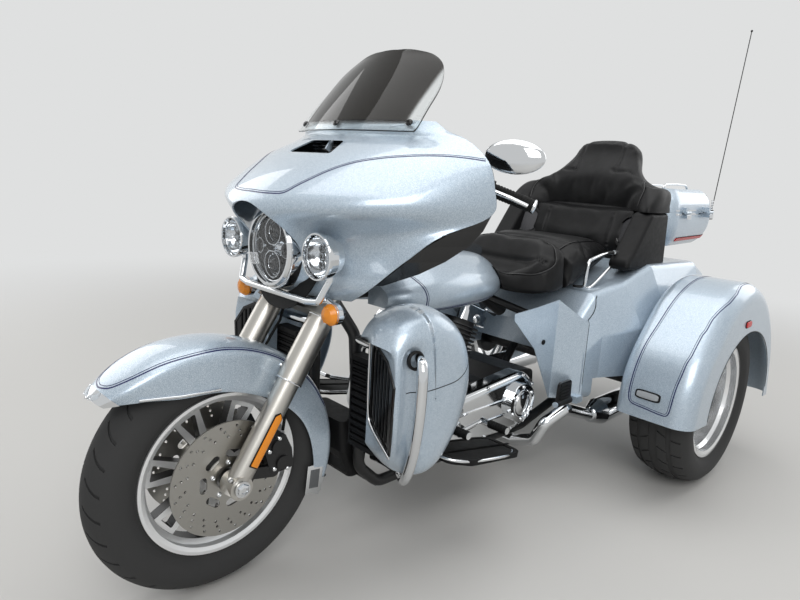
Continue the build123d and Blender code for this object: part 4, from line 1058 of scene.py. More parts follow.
PADS = (
    Pad("rider_seat", "frame", rider_mould, (
        Seam(across(((10, 96, 788), (-60, 150, 770), (-130, 190, 770), (-200, 198, 800), (-236, 150, 846),
                     (-246, 0, 856))), Stitch.PIPED, 3, 5),
        Seam(across(((-178, 160, 790), (-186, 80, 782), (-188, 0, 780))), depth=9.0, reach=10.0)),
        rest=lambda x, y, z: z < 712),
    Pad("pillion_seat", "frame", pillion_mould, (
        *Seam(((-270, 150, 840), (-340, 168, 862), (-470, 164, 862), (-585, 150, 850)), Stitch.PIPED, 3,
              5).twins(),
        Seam(across(((-330, 165, 862), (-336, 0, 868))), depth=4.0)), rest=lambda x, y, z: z < 730),
    Pad("backrest_lower", "frame", lumbar_mould, Seam(((-684, 160, 800), (-694, 158, 870), (-732, 156, 975))).twins(),
        rest=lambda x, y, z: x < -800 or z < 800),
    Pad("backrest_upper", "case_lid", upper_mould, (
        Seam(across(((-768, 168, 1112), (-778, 100, 1112), (-780, 0, 1112))), depth=6.0),
        *Seam(((-778, 96, 1112), (-808, 92, 1180), (-838, 84, 1240), (-870, 80, 1262)), depth=4.0).twins(),
        *Seam(((-676, 262, 990), (-690, 256, 1040), (-720, 240, 1096), (-786, 220, 1112)), Stitch.PIPED, 3,
              5).twins()),
        rest=lambda x, y, z: z < 994, rounds=10, blank=BACK_HALF + tuple((-u, v) for u, v in BACK_HALF[-2::-1])),
)


@dataclass
class Upholstery:
    """All the pads."""

    pads: tuple[Pad, ...] = PADS

    def build(self) -> None:
        """Makes every pad in turn."""
        for pad in self.pads:
            pad.build()


# Tyres


@dataclass
class Tread:
    """Tyre with a grooved tread, spun from its section and cut by pressing faces in."""

    node: str
    body: str
    centre: Place
    radius: float
    half: float
    bead: float
    bead_half: float
    tread_half: float
    rise: float
    steps: int = 240
    every: int = 8
    columns: int = 10
    skew: float = 9.0
    wide: int = 1
    ribs: tuple[int, ...] = ()

    def section(self) -> list[Corner]:
        """Outer line of the section from bead to bead as (width, radius)."""
        side_r = self.bead + 0.45 * (self.radius - self.bead)
        shoulder = self.radius - self.rise
        flank = [(self.bead_half, self.bead), (self.bead_half, self.bead + 13)]
        for t in (0.2, 0.4, 0.6, 0.8):
            r = self.bead + 13 + (shoulder - self.bead - 13) * t
            bulge = 1 - ((r - side_r) / (shoulder - side_r + 12)) ** 2
            base = self.bead_half + (self.tread_half - self.bead_half) * t
            flank.append((base + (self.half - base) * max(0, bulge), r))
        crown = []
        for i in range(self.columns + 1):
            w = self.tread_half * (1 - 2 * i / self.columns)
            crown.append((w, self.radius - self.rise * (w / self.tread_half) ** 2))
        return flank + crown + [(-w, r) for w, r in reversed(flank)]

    def build(self) -> None:
        """Spins the tyre, twists the columns to a slant and presses the grooves in."""
        cx, cy, cz = self.centre
        outer = self.section()
        inner = [(w * 0.80, r + 1.0 if r < self.bead + 20 else r - 9) for w, r in outer]
        loop = outer + inner[::-1]
        obj = drawn([(cx, cy + w, cz + r) for w, r in loop])
        hub = at(cx, cy, cz)
        with editing(obj, "VERT", whole=True):
            bpy.ops.mesh.spin(steps=self.steps, angle=2 * pi, center=hub, axis=(0, 1, 0))
            bpy.ops.mesh.select_all(action="SELECT")
            bpy.ops.mesh.remove_doubles(threshold=WELD)
            bpy.ops.mesh.normals_make_consistent(inside=False)
        low = (self.radius - self.rise - 1) * MM
        with editing(obj) as mesh:
            layer = mesh.faces.layers.int.new("slice")
            for face in mesh.faces:
                spot = face.calc_center_median()
                turn = degrees(atan2(spot.z - hub.z, spot.x - hub.x))
                face[layer] = int(turn / (360 / self.steps) + 3600)
            bmesh.update_edit_mesh(obj.data)

        def reach(point: Vector) -> float:
            """Distance from the axle, in metres."""
            return hypot(point.x - hub.x, point.z - hub.z)

        with editing(obj, "VERT") as mesh:
            for i in range(self.columns + 1):
                w = self.tread_half * (1 - 2 * i / self.columns)
                turn = radians(self.skew) * (1 - abs(w) / self.tread_half) ** 1.4
                level = (self.radius - self.rise * (w / self.tread_half) ** 2) * MM
                pick(mesh, mesh.verts, lambda v: abs(v.co.y - hub.y - w * MM) < 0.0004
                     and abs(reach(v.co) - level) < 0.001)
                bpy.ops.transform.rotate(value=turn, orient_axis="Y", center_override=hub)
        with editing(obj) as mesh:
            layer = mesh.faces.layers.int["slice"]
            pitch = 2 * self.tread_half / self.columns * MM

            def grooved(face: bmesh.types.BMFace) -> bool:
                """Whether a face of the tread lies in a groove.

                Args:
                    face: The face.

                Returns:
                    True for the faces to press in.
                """
                spot = face.calc_center_median()
                column = int((spot.y - hub.y + self.tread_half * MM) / pitch)
                outward = face.normal.dot(Vector((spot.x - hub.x, 0, spot.z - hub.z)))
                if reach(spot) < low or not 0 <= column < self.columns or outward < 0:
                    return False
                w = abs(spot.y - hub.y) / (self.tread_half * MM)
                if column in self.ribs:
                    return True
                late = self.every // 2 if spot.y > hub.y else 0
                return 0.10 < w < 0.97 and (face[layer] + late) % self.every < self.wide

            pick(mesh, mesh.faces, grooved)
            bpy.ops.mesh.extrude_region_shrink_fatten(TRANSFORM_OT_shrink_fatten={"value": -0.0045})
        settle(obj, self.node + "_treaded", TYRE, self.body, 40, mend=False)
        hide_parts(self.node)


@dataclass
class Wheels:
    """The treaded tyres, rim bolts and hub caps."""

    def build(self) -> None:
        """Makes the tyres and dresses the wheels."""
        Tread("front_tyre", "front_wheel", FRONT_AXLE, 320, 65, 203.3, 44.7, 50, 24).build()
        for side, label in SIDES:
            Tread("rear_tyre_" + label, "rear_wheel_" + label, (REAR_AXLE[0], side * REAR_AXLE[1], REAR_AXLE[2]),
                  325, 108, 203.3, 86.7, 90, 20, columns=12, ribs=(2, 5, 6, 9)).build()
        bolt = self.bolt()
        x, _, z = FRONT_AXLE
        for i in range(5):
            a = radians(72 * i + 18)
            place = Matrix.Translation(at(x + 44 * cos(a), 79.6, z + 44 * sin(a)))
            copied(bolt, f"disc_bolt_{i}_left", place, "front_wheel")
            copied(bolt, f"disc_bolt_{i}_right", MIRRORED @ place, "front_wheel")
        bpy.data.objects.remove(bolt)
        x, y, z = REAR_AXLE
        for side, label in SIDES:
            settle(lathe([(0, 0), (0, 36), (10, 34), (18, 24), (22, 0)], (x, side * (y - 4.2), z), (0, side, 0)),
                   "rear_hub_cap_" + label, CHROME, "rear_wheel_" + label)
            for i in range(5):
                a = radians(72 * i)
                settle(lathe([(0, 0), (0, 9), (12, 8), (14, 0)],
                             (x + 56 * cos(a), side * (y - 24), z + 56 * sin(a)), (0, side, 0), 12),
                       f"rear_wheel_nut_{label}_{i}", CHROME, "rear_wheel_" + label)

    def bolt(self) -> Piece:
        """Button-head bolt with a socket, at the origin and facing left."""
        obj = lathe([(0, 0), (0, 7), (3, 6.4), (5, 4.4), (5, 2.8), (2.4, 2.6), (2.4, 0)], HOME, LEFT, 16)
        return settle(obj, "button_bolt", CHROME, "front_wheel")


# Moulded shells with softly rounded faces


def between(rows: Route, place: float) -> list[float]:
    """Row of numbers on the smooth curve through a table's rows.

    Args:
        rows: The table.
        place: Row number, whole or between two rows.

    Returns:
        The row's numbers.
    """
    i = min(int(place), len(rows) - 2)
    t = place - i
    a, b, c, d = rows[max(i - 1, 0)], rows[i], rows[i + 1], rows[min(i + 2, len(rows) - 1)]
    return [0.5 * (2 * q + (r - p) * t + (2 * p - 5 * q + 4 * r - s) * t * t + (3 * q - p - 3 * r + s) * t ** 3)
            for p, q, r, s in zip(a, b, c, d)]


def arc_through(a: Sequence[float], b: Sequence[float], c: Sequence[float], count: int) -> list[Corner]:
    """Points on the smooth line from a through b to c, without the last one.

    Args:
        a: First point.
        b: Point that the line passes half-way.
        c: Last point.
        count: Points to make.

    Returns:
        The points, without c.
    """
    made = []
    for i in range(count):
        t = i / count
        k = 2 * t * (1 - t)
        middle = [2 * q - 0.5 * (p + r) for p, q, r in zip(a, b, c)]
        made.append(tuple((1 - t) ** 2 * p + k * m + t * t * r for p, m, r in zip(a, middle, c)))
    return made


def softened(line: list[Corner], rounds: int) -> list[Corner]:
    """A line with its corners eased, ends kept.

    Args:
        line: Points in order.
        rounds: How many times the line is eased.

    Returns:
        The eased line, with as many points.
    """
    for _ in range(rounds):
        line = [line[0]] + [tuple(0.25 * p + 0.5 * q + 0.25 * r for p, q, r in zip(a, b, c))
                            for a, b, c in zip(line, line[1:], line[2:])] + [line[-1]]
    return line


def moulded(points: Sequence[Route], wall: float, inward: bool = True) -> Piece:
    """Shell through rows of points: a grid shaped to them and given a wall.

    Args:
        points: Rows of points in drawing millimetres, each row as long.
        wall: Wall thickness in millimetres.
        inward: Whether the wall goes in from the drawn face.

    Returns:
        The shell.
    """
    rows, columns = len(points), len(points[0])
    bpy.ops.object.select_all(action="DESELECT")
    bpy.ops.mesh.primitive_grid_add(x_subdivisions=columns - 1, y_subdivisions=rows - 1, size=1.0)
    obj = bpy.context.object
    for j, row in enumerate(points):
        for i, point in enumerate(row):
            obj.data.vertices[j * columns + i].co = at(*point)
    modify(obj, "SOLIDIFY", thickness=wall * MM, offset=-1.0 if inward else 1)
    return obj


def cut(obj: Piece, tool: Piece) -> None:
    """Takes a tool's shape out of a piece and removes the tool.

    Args:
        obj: The piece to cut.
        tool: The closed shape to take out.
    """
    with editing(tool, whole=True):
        bpy.ops.mesh.normals_make_consistent(inside=False)
    modify(obj, "BOOLEAN", operation="DIFFERENCE", object=tool, solver="EXACT")
    bpy.data.objects.remove(tool)


@dataclass
class FairingShell:
    """Painted fairing from its level lines, with the lamp's recess and the vent cut."""

    levels: tuple[tuple[float, ...], ...] = (
        # z, rear x, half width, corner x, corner y, side x, side y, nose x
        (766, 707, 190, 750, 98, 738, 146, 768),
        (812, 700, 262, 782, 104, 736, 190, 810),
        (880, 664, 330, 800, 112, 706, 214, 842),
        (944, 612, 388, 838, 126, 716, 250, 892),
        (1000, 490, 440, 864, 156, 742, 338, 904),
        (1060, 500, 450, 800, 176, 690, 348, 832),
        (1122, 505, 432, 700, 190, 610, 334, 724),
        (1172, 486, 346, 600, 160, 540, 280, 634),
        (1194, 490, 280, 604, 130, 560, 232, 624),
        (1216, 503, 250, 586, 128, 541, 224, 604))
    wall: float = 4.0
    lamp: Place = (828, 0, 880)

    def line(self, place: float) -> list[Place]:
        """Left rear to right rear along one level.

        Args:
            place: Place among the levels, counted from the first.

        Returns:
            The line's points in drawing millimetres.
        """
        z, rear, half, cx, cy, sx, sy, nose = between(self.levels, place)
        left = arc_through((rear, half), (sx, sy), (cx, cy), 22)
        front = arc_through((cx, cy), (nose, 0), (cx, -cy), 20)
        right = [(x, -y) for x, y in reversed(left)]
        return [(x, y, z) for x, y in softened(left + front + [(cx, -cy)] + right, 12)]

    def build(self) -> None:
        """Shapes the shell, opens it and replaces the plain solid."""
        count = 64
        rows = [self.line((len(self.levels) - 1) * i / count) for i in range(count + 1)]
        for _ in range(3):
            rows = [rows[0]] + [[tuple(0.25 * p + 0.5 * q + 0.25 * r for p, q, r in zip(a, b, c))
                                 for a, b, c in zip(*trio)] for trio in zip(rows, rows[1:], rows[2:])] + [rows[-1]]
        obj = moulded(rows, self.wall)
        x, _, z = self.lamp
        cut(obj, lathe([(-150, 0), (-150, 107), (-24, 107), (130, 166), (130, 0)], (x, 0, z + 3), (1, 0, -0.26), 72))
        cut(obj, plate(framed(94, -17, 70, 18), (560, 0, 1143), AHEAD, 220, 9, 4))
        rounded(obj, 2.2, 3)
        settle(obj, "fairing_shell", PAINT, "steering", 40, mend=False)
        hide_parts("fairing_outer")
        settle(lathe([(-96, 101.2), (-96, 104.6), (-4, 104.6), (1, 103), (1, 101.2)], self.lamp, AHEAD, 72),
               "lamp_barrel", CHROME, "steering", 40, mend=False)
        settle(lathe([(-62, 105.4), (-62, 150), (-58, 150), (-58, 105.4)], self.lamp, (1, 0, 0.25), 72),
               "lamp_recess_liner", BLACK_ABS, "steering", 40, mend=False)


@dataclass
class Windscreen:
    """Smoked sheet that leans back, with its lower sides rolled forward and its edges rounded."""

    rows: tuple[tuple[float, float, float, float], ...] = (
        # z, middle x, side x, half width
        (1188, 639, 566, 246), (1204, 625.5, 552, 248), (1250, 587, 520, 245),
        (1300, 545, 482, 237), (1340, 511, 455, 221), (1372, 484, 436, 196),
        (1398, 462, 428, 152), (1412, 450, 436, 98), (1418, 445, 443, 40))
    wall: float = 4.6

    def build(self) -> None:
        """Shapes the sheet and replaces the plain solid."""
        made = []
        for i in range(57):
            z, middle, side, half = between(self.rows, (len(self.rows) - 1) * i / 56)
            roll = 10.0 * (1 - ease(z, 1200, 1330))
            row = []
            for k in range(41):
                u = 1 - 2 * k / 40
                curl = roll * ease(abs(u), 0.80, 1)
                row.append((middle - (middle - side) * u * u + curl, half * u, z))
            made.append(row)
        obj = moulded(made, self.wall)
        rounded(obj, 1.4, 2)
        settle(obj, "smoked_screen", SMOKE, "steering", 45, mend=False)
        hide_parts("windscreen")


@dataclass
class FenderShell:
    """Front fender: rings round the wheel with straight skirts and a crowned top."""

    rings: tuple[tuple[float, float, float, float, float], ...] = (
        # angle, half width, skirt radius, shoulder radius, top radius
        (41, 44, 366, 374, 387), (50, 76, 322, 358, 383), (64, 88, 266, 342, 374),
        (84, 88, 236, 326, 356), (108, 82, 218, 312, 342), (132, 82, 222, 308, 340),
        (158, 84, 240, 308, 340), (184, 84, 258, 308, 339), (207, 74, 290, 312, 337))
    wall: float = 3.5

    def build(self) -> None:
        """Shapes the fender and replaces the plain solid."""
        rows, count = [], 72
        for i in range(count + 1):
            angle, half, skirt, shoulder, top = between(self.rings, (len(self.rings) - 1) * i / count)
            line = [(half, skirt + (shoulder - skirt) * k / 8) for k in range(8)]
            line += [(half * cos(pi * k / 24), shoulder + (top - shoulder) * sin(pi * k / 24))
                     for k in range(25)]
            line += [(-half, skirt + (shoulder - skirt) * k / 8) for k in range(7, -1, -1)]
            a = radians(angle)
            rows.append([(FRONT_AXLE[0] + r * cos(a), w, FRONT_AXLE[2] + r * sin(a))
                         for w, r in softened(line, 3)])
        obj = moulded(rows, self.wall, inward=False)
        rounded(obj, 1.2, 2)
        settle(obj, "fender_shell", PAINT, "steering", 40)
        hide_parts("front_fender")


@dataclass
class LowerShell:
    """Painted lower fairing with the channel that the guard bar lies in."""

    outline: tuple[Corner, ...] = ((609, 763), (712, 722), (742, 600), (728, 470), (660, 330), (552, 302),
                                   (470, 398), (414, 540), (446, 676), (530, 744))
    rows: tuple[Corner, ...] = ((238, 0.93), (268, 0.975), (300, 1), (330, 0.985), (352, 0.955),
                                (372, 0.88), (385, 0.76), (391, 0.60), (393, 0.40), (393.6, 0.20),
                                (393.8, 0.012))
    centre: Corner = (590, 540)
    guard: tuple[Place, ...] = ((664, 408, 652), (667, 416, 590), (664, 410, 500), (655, 385, 400), (646, 360, 338))
    screen: tuple[Corner, ...] = ((-56, 108), (-56, -82), (-36, -108), (62, -150), (70, 30), (30, 84), (-30, 112))

    @staticmethod
    def face_x(y: float) -> float:
        """How far forward the flat front reaches at one width."""
        return 700.0 + 0.267 * (y - 310)

    @staticmethod
    def reach(out: float) -> Corner:
        """Lowest and highest place of a screen slat at one distance across."""
        low = -106 - 0.42 * (out + 36)
        high = 108 - 0.4 * max(out + 30, 0) - 0.9 * max(out - 30, 0)
        return low + 12, high - 12

    def ring(self, place: float) -> list[Place]:
        """Closed line round the shell at one width.

        Args:
            place: Place among the rows, counted from the first.

        Returns:
            The ring's points in drawing millimetres, the first one again at the end.
        """
        y, ratio = between(self.rows, place)
        cx, cz = self.centre
        corners = [(cx + (x - cx) * ratio, cz + (z - cz) * ratio) for x, z in self.outline]
        count, per = len(corners), 8
        made = []
        for i in range(count):
            a, b, c, d = (corners[(i + k) % count] for k in (-1, 0, 1, 2))
            for j in range(per):
                t = j / per
                shares = ((1 - t) ** 3, 3 * t ** 3 - 6 * t * t + 4, 3 * t * t * (1 - t) + 3 * t + 1, t ** 3)
                made.append(tuple(sum(w * v for w, v in zip(shares, four)) / 6 for four in zip(a, b, c, d)))
        return [(cx + (x - cx) * 1.055, y, cz + (z - cz) * 1.055) for x, z in made + made[:1]]

    def build(self) -> None:
        """Shapes the left shell with its channel, and mirrors it."""
        hollow = search_tree(smooth_line(self.guard, 10))
        count = 44
        rows = []
        for i in range(count + 1):
            row = []
            for x, y, z in self.ring((len(self.rows) - 1) * i / count):
                gap = hollow.find(at(x, y, z))[2] / MM
                deep = 22 * exp(-(max(gap - 14, 0) / 26) ** 2) * ease(y, 296, 345)
                flat = self.face_x(y) + 75 * ease(z, 662, 704) + 30 * ease(-z, -400, -350)
                row.append((min(x, flat), y - deep, z))
            rows.append(row)
        obj = moulded(rows, 3.5)
        with editing(obj, whole=True):
            bpy.ops.mesh.remove_doubles(threshold=0.0004)
        left = settle(obj, "lower_shell", PAINT, "frame", 50, mend=False)
        way = (0.966, -0.258, 0)
        back = plate(self.screen, (698, 311, 560), way, 6, 1.6)
        sink(back, lambda f: f.normal.x > 0.9 and f.calc_area() > 0.004, 0.007, -0.0025)
        pair(back, "lower_screen", GLOSS_BLACK, "frame")
        for number in range(6):
            out = -48 + 17 * number
            low, high = self.reach(out)
            pair(plate(framed(1.6, low, 1.6, high),
                       Vector((702.4, 309.8, 560)) + Vector((0.258, 0.966, 0)) * out, way, 2.2, 0.6),
                 f"lower_screen_slat_{number}", BLACK_ABS, "frame")
        pair(tube([(700, 260, 672), (694, 254, 650), (692, 252, 600), (692, 254, 480), (697, 272, 452),
                   (709, 330, 424), (718, 370, 406)], 3.2), "lower_screen_edge", CHROME, "frame", 60, mend=False)
        both_sides(left)
        for label in ("left", "right"):
            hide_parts("lower_fairing_" + label)


# Front end


@dataclass
class FrontLamps:
    """Projector modules, reflectors, bezels and the amber signals."""

    headlamp: Place = (828, 0, 880)
    passing: Place = (821, 199, 885)
    signal: Place = (777, 203, 740)
    modules: tuple[Place, ...] = ((0, 42, 34), (0, -42, 34), (58, 0, 19), (-58, 0, 19))

    def projector(self, number: int, place: Place, radius: float) -> None:
        """Bright stepped bowl with a glass dome in its middle.

        Args:
            number: The module's number.
            place: Its centre.
            radius: Its radius in millimetres.
        """
        bowl = ((0, 0.55), (2, 0.62), (5, 0.66), (6, 0.80), (12, 0.86), (16, 0.98), (19, 0.98), (19, 1.04),
                (-2, 1.04), (-2, 0.55))
        settle(lathe([(a, radius * share) for a, share in bowl], place, AHEAD), f"projector_bowl_{number}",
               CHROME, "steering")
        dome = [(0, 0), (0, radius * 0.60), (5, radius * 0.60)]
        dome += [(5 + radius * 0.50 * sin(a), radius * 0.60 * cos(a)) for a in (0.3, 0.7, 1.1, 1.4)]
        settle(lathe(dome + [(5 + radius * 0.50, 0)], place, AHEAD, 32), f"projector_dome_{number}", DOME,
               "steering")

    def build(self) -> None:
        """Makes the inside of the three lamps and both signals' bezels."""
        x, y, z = self.headlamp
        for number, (dy, dz, r) in enumerate(self.modules):
            self.projector(number, (x - 30, dy, z + dz), r)
        settle(lathe([(-12, 78), (-12, 84), (-4, 87), (-2, 84), (-6, 80)], self.headlamp, AHEAD, 64),
               "headlamp_inner_bezel", CHROME, "steering")
        settle(lathe([(-4, 95.5), (1, 95.5), (3, 93), (1, 90.5), (-4, 90.5)], self.headlamp, AHEAD, 64),
               "headlamp_gasket", BLACK_ABS, "steering")
        for i in (-1, 0, 1):
            settle(plate(oval(22 if i else 30, 9, 20, 4), (x - 33, 0, z + i * 13), AHEAD, 6, 1.5),
                   f"headlamp_fin_{i + 1}", CHROME, "steering")
        px, py, pz = self.passing
        pair(lathe([(-50, 8), (-48, 20), (-38, 35), (-14, 48), (-8, 50), (-8, 51.5), (-15, 50.5), (-42, 35.5),
                    (-53, 8)], self.passing, AHEAD), "passing_reflector", CHROME, "steering")
        for i, dz in enumerate((-19, 0, 19)):
            pair(lathe([(-30, 0), (-30, 11), (-12, 11), (-9, 8), (-7, 0)], (px, py, pz + dz), AHEAD, 24),
                 f"passing_eye_{i}", DOME, "steering")
            pair(lathe([(-50, 9.5), (-50, 13), (-16, 13), (-14, 11.6), (-20, 11.4), (-20, 9.5)], (px, py, pz + dz),
                       AHEAD, 24), f"passing_eye_ring_{i}", CHROME, "steering")
        pair(lathe([(6, 52), (6, 57.4), (9, 56), (9, 52.6)], self.passing, AHEAD),
             "passing_bezel", CHROME, "steering")
        pair(lathe([(-1, 26.5), (5, 27.6), (5, 25.2), (1, 25)], self.signal, AHEAD, 40),
             "signal_bezel", CHROME, "steering")
        sx, sy, sz = self.signal
        flute = plate(oval(1.6, 20, 12, 4), (sx + 17, sy, sz), AHEAD, 3, 0.6)
        flute = settle(flute, "signal_flute", AMBER, "steering")
        for dy in (-9, 9):
            copied(flute, f"signal_flute_{'in' if dy < 0 else 'out'}", Matrix.Translation((0, dy * MM, 0)))
        for piece in (flute, bpy.data.objects["signal_flute_in"], bpy.data.objects["signal_flute_out"]):
            both_sides(piece)


@dataclass
class ForkDress:
    """Amber reflectors, cover bands, axle nut, and the pinch and caliper bolts."""

    lean: float = radians(32)

    def along(self, distance: float, y: float = 118) -> Place:
        """Point of the left leg."""
        return (FRONT_AXLE[0] - distance * sin(self.lean), y, FRONT_AXLE[2] + distance * cos(self.lean))

    def build(self) -> None:
        """Makes the left side's pieces and their twins."""
        up = Vector((-sin(self.lean), 0, cos(self.lean)))
        for name, half_u, half_v, y, thick, finish in (("reflector_base", 12, 74, 145.4, 2.5, BLACK_ABS),
                                                       ("reflector", 9.5, 70, 147.6, 4, AMBER)):
            neck = half_v - 10
            outline = [(-half_u, -half_v), (half_u, -half_v), (half_u, neck), (0, half_v), (-half_u, neck)]
            piece = moved(plate(outline, HOME, LEFT, thick, 1.2), Matrix.Rotation(-self.lean, 4, "Y"),
                          Matrix.Translation(at(*self.along(128, y))))
            pair(piece, name, finish, "steering")
        for number, distance in enumerate((279.5, 459)):
            pair(lathe([(-2, 30), (-2, 35.2), (0, 36), (2, 35.2), (2, 30)], self.along(distance), up),
                 f"fork_band_{number}", CHROME, "steering")
        x, _, z = FRONT_AXLE
        pair(lathe([(0, 0), (0, 17), (5, 15), (7, 9), (4, 8), (4, 0)], (x, 151.6, z), LEFT, 6),
             "axle_nut", CHROME, "steering", 20)
        pair(lathe([(0, 0), (0, 7), (6, 6), (8, 0)], (x + 22, 132, z + 24), (0.7, 0, 0.7), 16),
             "pinch_bolt", CHROME, "steering")
        for number, (r, a) in enumerate(((152, 146), (152, 182), (112, 150), (112, 178))):
            a = radians(a)
            pair(lathe([(0, 0), (0, 6.5), (4, 6), (6, 4), (6, 0)],
                       (x + r * cos(a), 111.6, z + r * sin(a)), LEFT, 12),
                 f"caliper_bolt_{number}", CHROME, "steering")


@dataclass(frozen=True)
class Stripe:
    """Twin pin stripe on one painted panel."""

    name: str
    nodes: tuple[str, ...]
    body: str
    points: tuple[Place, ...]


STRIPES = (
    Stripe("fairing_stripe", ("fairing_shell",), "steering",
           ((890, 0, 1030), (888, 40, 1028), (872, 88, 1022), (852, 112, 1016), (832, 122, 1024), (800, 142, 1046),
            (760, 170, 1080), (715, 205, 1100), (650, 270, 1116), (580, 345, 1126), (512, 428, 1130))),
    Stripe("fender_stripe", ("fender_shell",), "steering",
           ((1262, 0, 596), (1248, 34, 596), (1208, 60, 618), (1150, 72, 642), (1084, 76, 650), (990, 74, 650),
            (900, 72, 628), (820, 72, 588), (748, 74, 520), (700, 74, 440))),
    Stripe("tank_stripe", ("fuel_tank",), "frame",
           ((470, 60, 815), (452, 110, 800), (436, 160, 775), (426, 182, 745), (424, 180, 718), (400, 178, 700),
            (340, 180, 694), (200, 180, 692), (60, 140, 692))),
    Stripe("rear_fender_stripe", ("rear_fender_left",), "frame",
           ((-800, 512, 758), (-700, 508, 748), (-560, 500, 700), (-450, 490, 620), (-380, 481, 546),
            (-320, 478, 440), (-308, 480, 380), (-304, 492, 356), (-306, 540, 350), (-312, 600, 344),
            (-320, 622, 350), (-340, 628, 420), (-400, 634, 512), (-460, 636, 575), (-550, 638, 650),
            (-700, 640, 716), (-800, 642, 730))),
)


@dataclass
class PinStripes:
    """Twin navy lines laid on the painted panels."""

    stripes: tuple[Stripe, ...] = STRIPES
    wide: float = 3.6
    fine: float = 1.8
    gap: float = 6.5

    def build(self) -> None:
        """Lays each stripe's broad and fine line, and their twins."""
        for stripe in self.stripes:
            for label, width, shift in (("broad", self.wide, 0), ("fine", self.fine, self.gap)):
                band = ribbon(stripe.points, stripe.nodes, width, 0.25, shift, lift=0.25)
                band = settle(band, f"{stripe.name}_{label}", NAVY, stripe.body, 60, mend=False)
                both_sides(band)


@dataclass
class FairingDress:
    """Screen bolts, base trim, vent louvre, edge bead, and the dials and speakers behind the fairing."""

    bolts: tuple[Place, ...] = ((621, 0, 1209), (560, 224, 1209), (560, -224, 1209))

    def build(self) -> None:
        """Makes the pieces from the screen down."""
        tree = skin_of("fairing_shell", "smoked_screen")
        for number, spot in enumerate(self.bolts):
            place, normal = touched(tree, at(*spot) + Vector((0.02, 0, 0.01)))
            settle(lathe([(-4, 0), (-4, 7), (-2, 9.5), (1.5, 9.5), (5, 6.5), (5.6, 3), (3, 2.6), (3, 0)], place,
                         normal, 24), f"screen_bolt_{number}", GLOSS_BLACK, "steering")
        settle(ribbon(across(((500, -236, 1206), (566, -200, 1200), (610, -100, 1196), (622, 0, 1194))),
                      ("fairing_shell",), 7, 1.6, lift=0.1), "screen_trim", PAINT, "steering", 50, mend=False)
        settle(plate(framed(92, -16, 74, 15), (622, 0, 1142), (1, 0, 0.6), 3, 0.6),
               "vent_back", BLACK_ABS, "steering")
        for number, dz in enumerate((-9, 0, 9)):
            settle(plate(framed(84 - abs(dz), -1.5, 84 - abs(dz), 1.5), (636 - 0.45 * dz, 0, 1144 + dz), (1, 0, 0.6),
                         8, 0.8), f"vent_slat_{number}", GLOSS_BLACK, "steering")
        settle(plate(framed(3, -15, 2, 15), (640, 0, 1144), (1, 0, 0.6), 16, 1), "vent_divider", PAINT, "steering")
        bead = [(506, 432, 1124), (501, 449, 1062), (492, 441, 1004), (560, 412, 968), (612, 388, 944),
                (664, 330, 880), (700, 262, 812), (707, 190, 766)]
        pair(ribbon(bead, ("fairing_shell",), 4.5, 2.2, lift=-0.6), "fairing_edge_bead", RUBBER, "steering", 50,
             mend=False)
        self.panel()

    def panel(self) -> None:
        """Dials with needles, round speakers and the screen of the instrument panel."""
        tilt = radians(12)
        back = Vector((-cos(tilt), 0, sin(tilt)))
        up = Vector((sin(tilt), 0, cos(tilt)))
        centre = Vector((530, 0, 1100))

        def spot(y: float, z: float, out: float) -> Vector:
            """Place on the panel: across, up it, and out of it towards the rider."""
            return centre + up * z + Vector((0, y, 0)) + back * out

        for number, (y, z, r) in enumerate(((128, 22, 38), (-128, 22, 38), (64, 52, 22), (-64, 52, 22))):
            settle(lathe([(-3, r - 3.5), (-3, r + 2.5), (2, r + 3), (5, r), (4, r - 3.5)], spot(y, z, 30), back),
                   f"dial_ring_{number}", CHROME, "steering")
            settle(lathe([(0, 0), (0, r - 1), (1.5, r - 1), (1.5, 0)], spot(y, z, 17), back, 40),
                   f"dial_face_{number}", BLACK_ABS, "steering")
            for i in range(11):
                a = radians(-135 + 27 * i)
                tick = moved(plate(framed(0.9, r * 0.70, 0.9, r * 0.88), HOME, AHEAD, 0.8, 0),
                             Matrix.Rotation(a, 4, "X"), aimed(back), Matrix.Translation(at(*spot(y, z, 18.6))))
                settle(tick, f"dial_tick_{number}_{i}", WHITE_INK, "steering")
            needle = moved(plate(framed(1.6, -6, 0.5, r * 0.72), HOME, AHEAD, 1.2, 0.3),
                           Matrix.Rotation(radians(-110), 4, "X"), aimed(back),
                           Matrix.Translation(at(*spot(y, z, 20))))
            settle(needle, f"dial_needle_{number}", ORANGE_INK, "steering")
            settle(lathe([(0, 0), (0, r - 3.6), (1.2, r - 3.6), (2.4, 0)], spot(y, z, 31), back, 40),
                   f"dial_glass_{number}", CLEAR, "steering")
        for side, label in SIDES:
            self.grille(spot(side * 240, -6, 26), back, 54, "fairing_speaker_" + label, "steering")
        settle(plate(framed(72, -34, 72, 34), spot(0, -16, 19), back, 3, 1),
               "display_screen", GLOSS_BLACK, "steering")

    @staticmethod
    def grille(place: Vector, way: Vector, radius: float, name: str, body: str) -> None:
        """Round speaker cover: a ring and a crowned, pierced disc.

        Args:
            place: Centre in drawing millimetres.
            way: Direction it faces.
            radius: Outer radius in millimetres.
            name: Start of the pieces' names.
            body: Body they move with.
        """
        ring = lathe([(-2, radius - 5), (-2, radius), (4, radius), (6, radius - 2.5), (4, radius - 5)], place, way)
        settle(ring, name + "_ring", GLOSS_BLACK, body)
        crown = [(radius * 0.99 * (1 - i / 6), 4 * (1 - (1 - i / 6) ** 2)) for i in range(7)]
        profile = [(h, r - 3) for r, h in crown[:-1]] + [(4, 0), (0, 0), (0, radius - 5)]
        settle(lathe(profile, place, way), name + "_mesh", GRILLE, body)


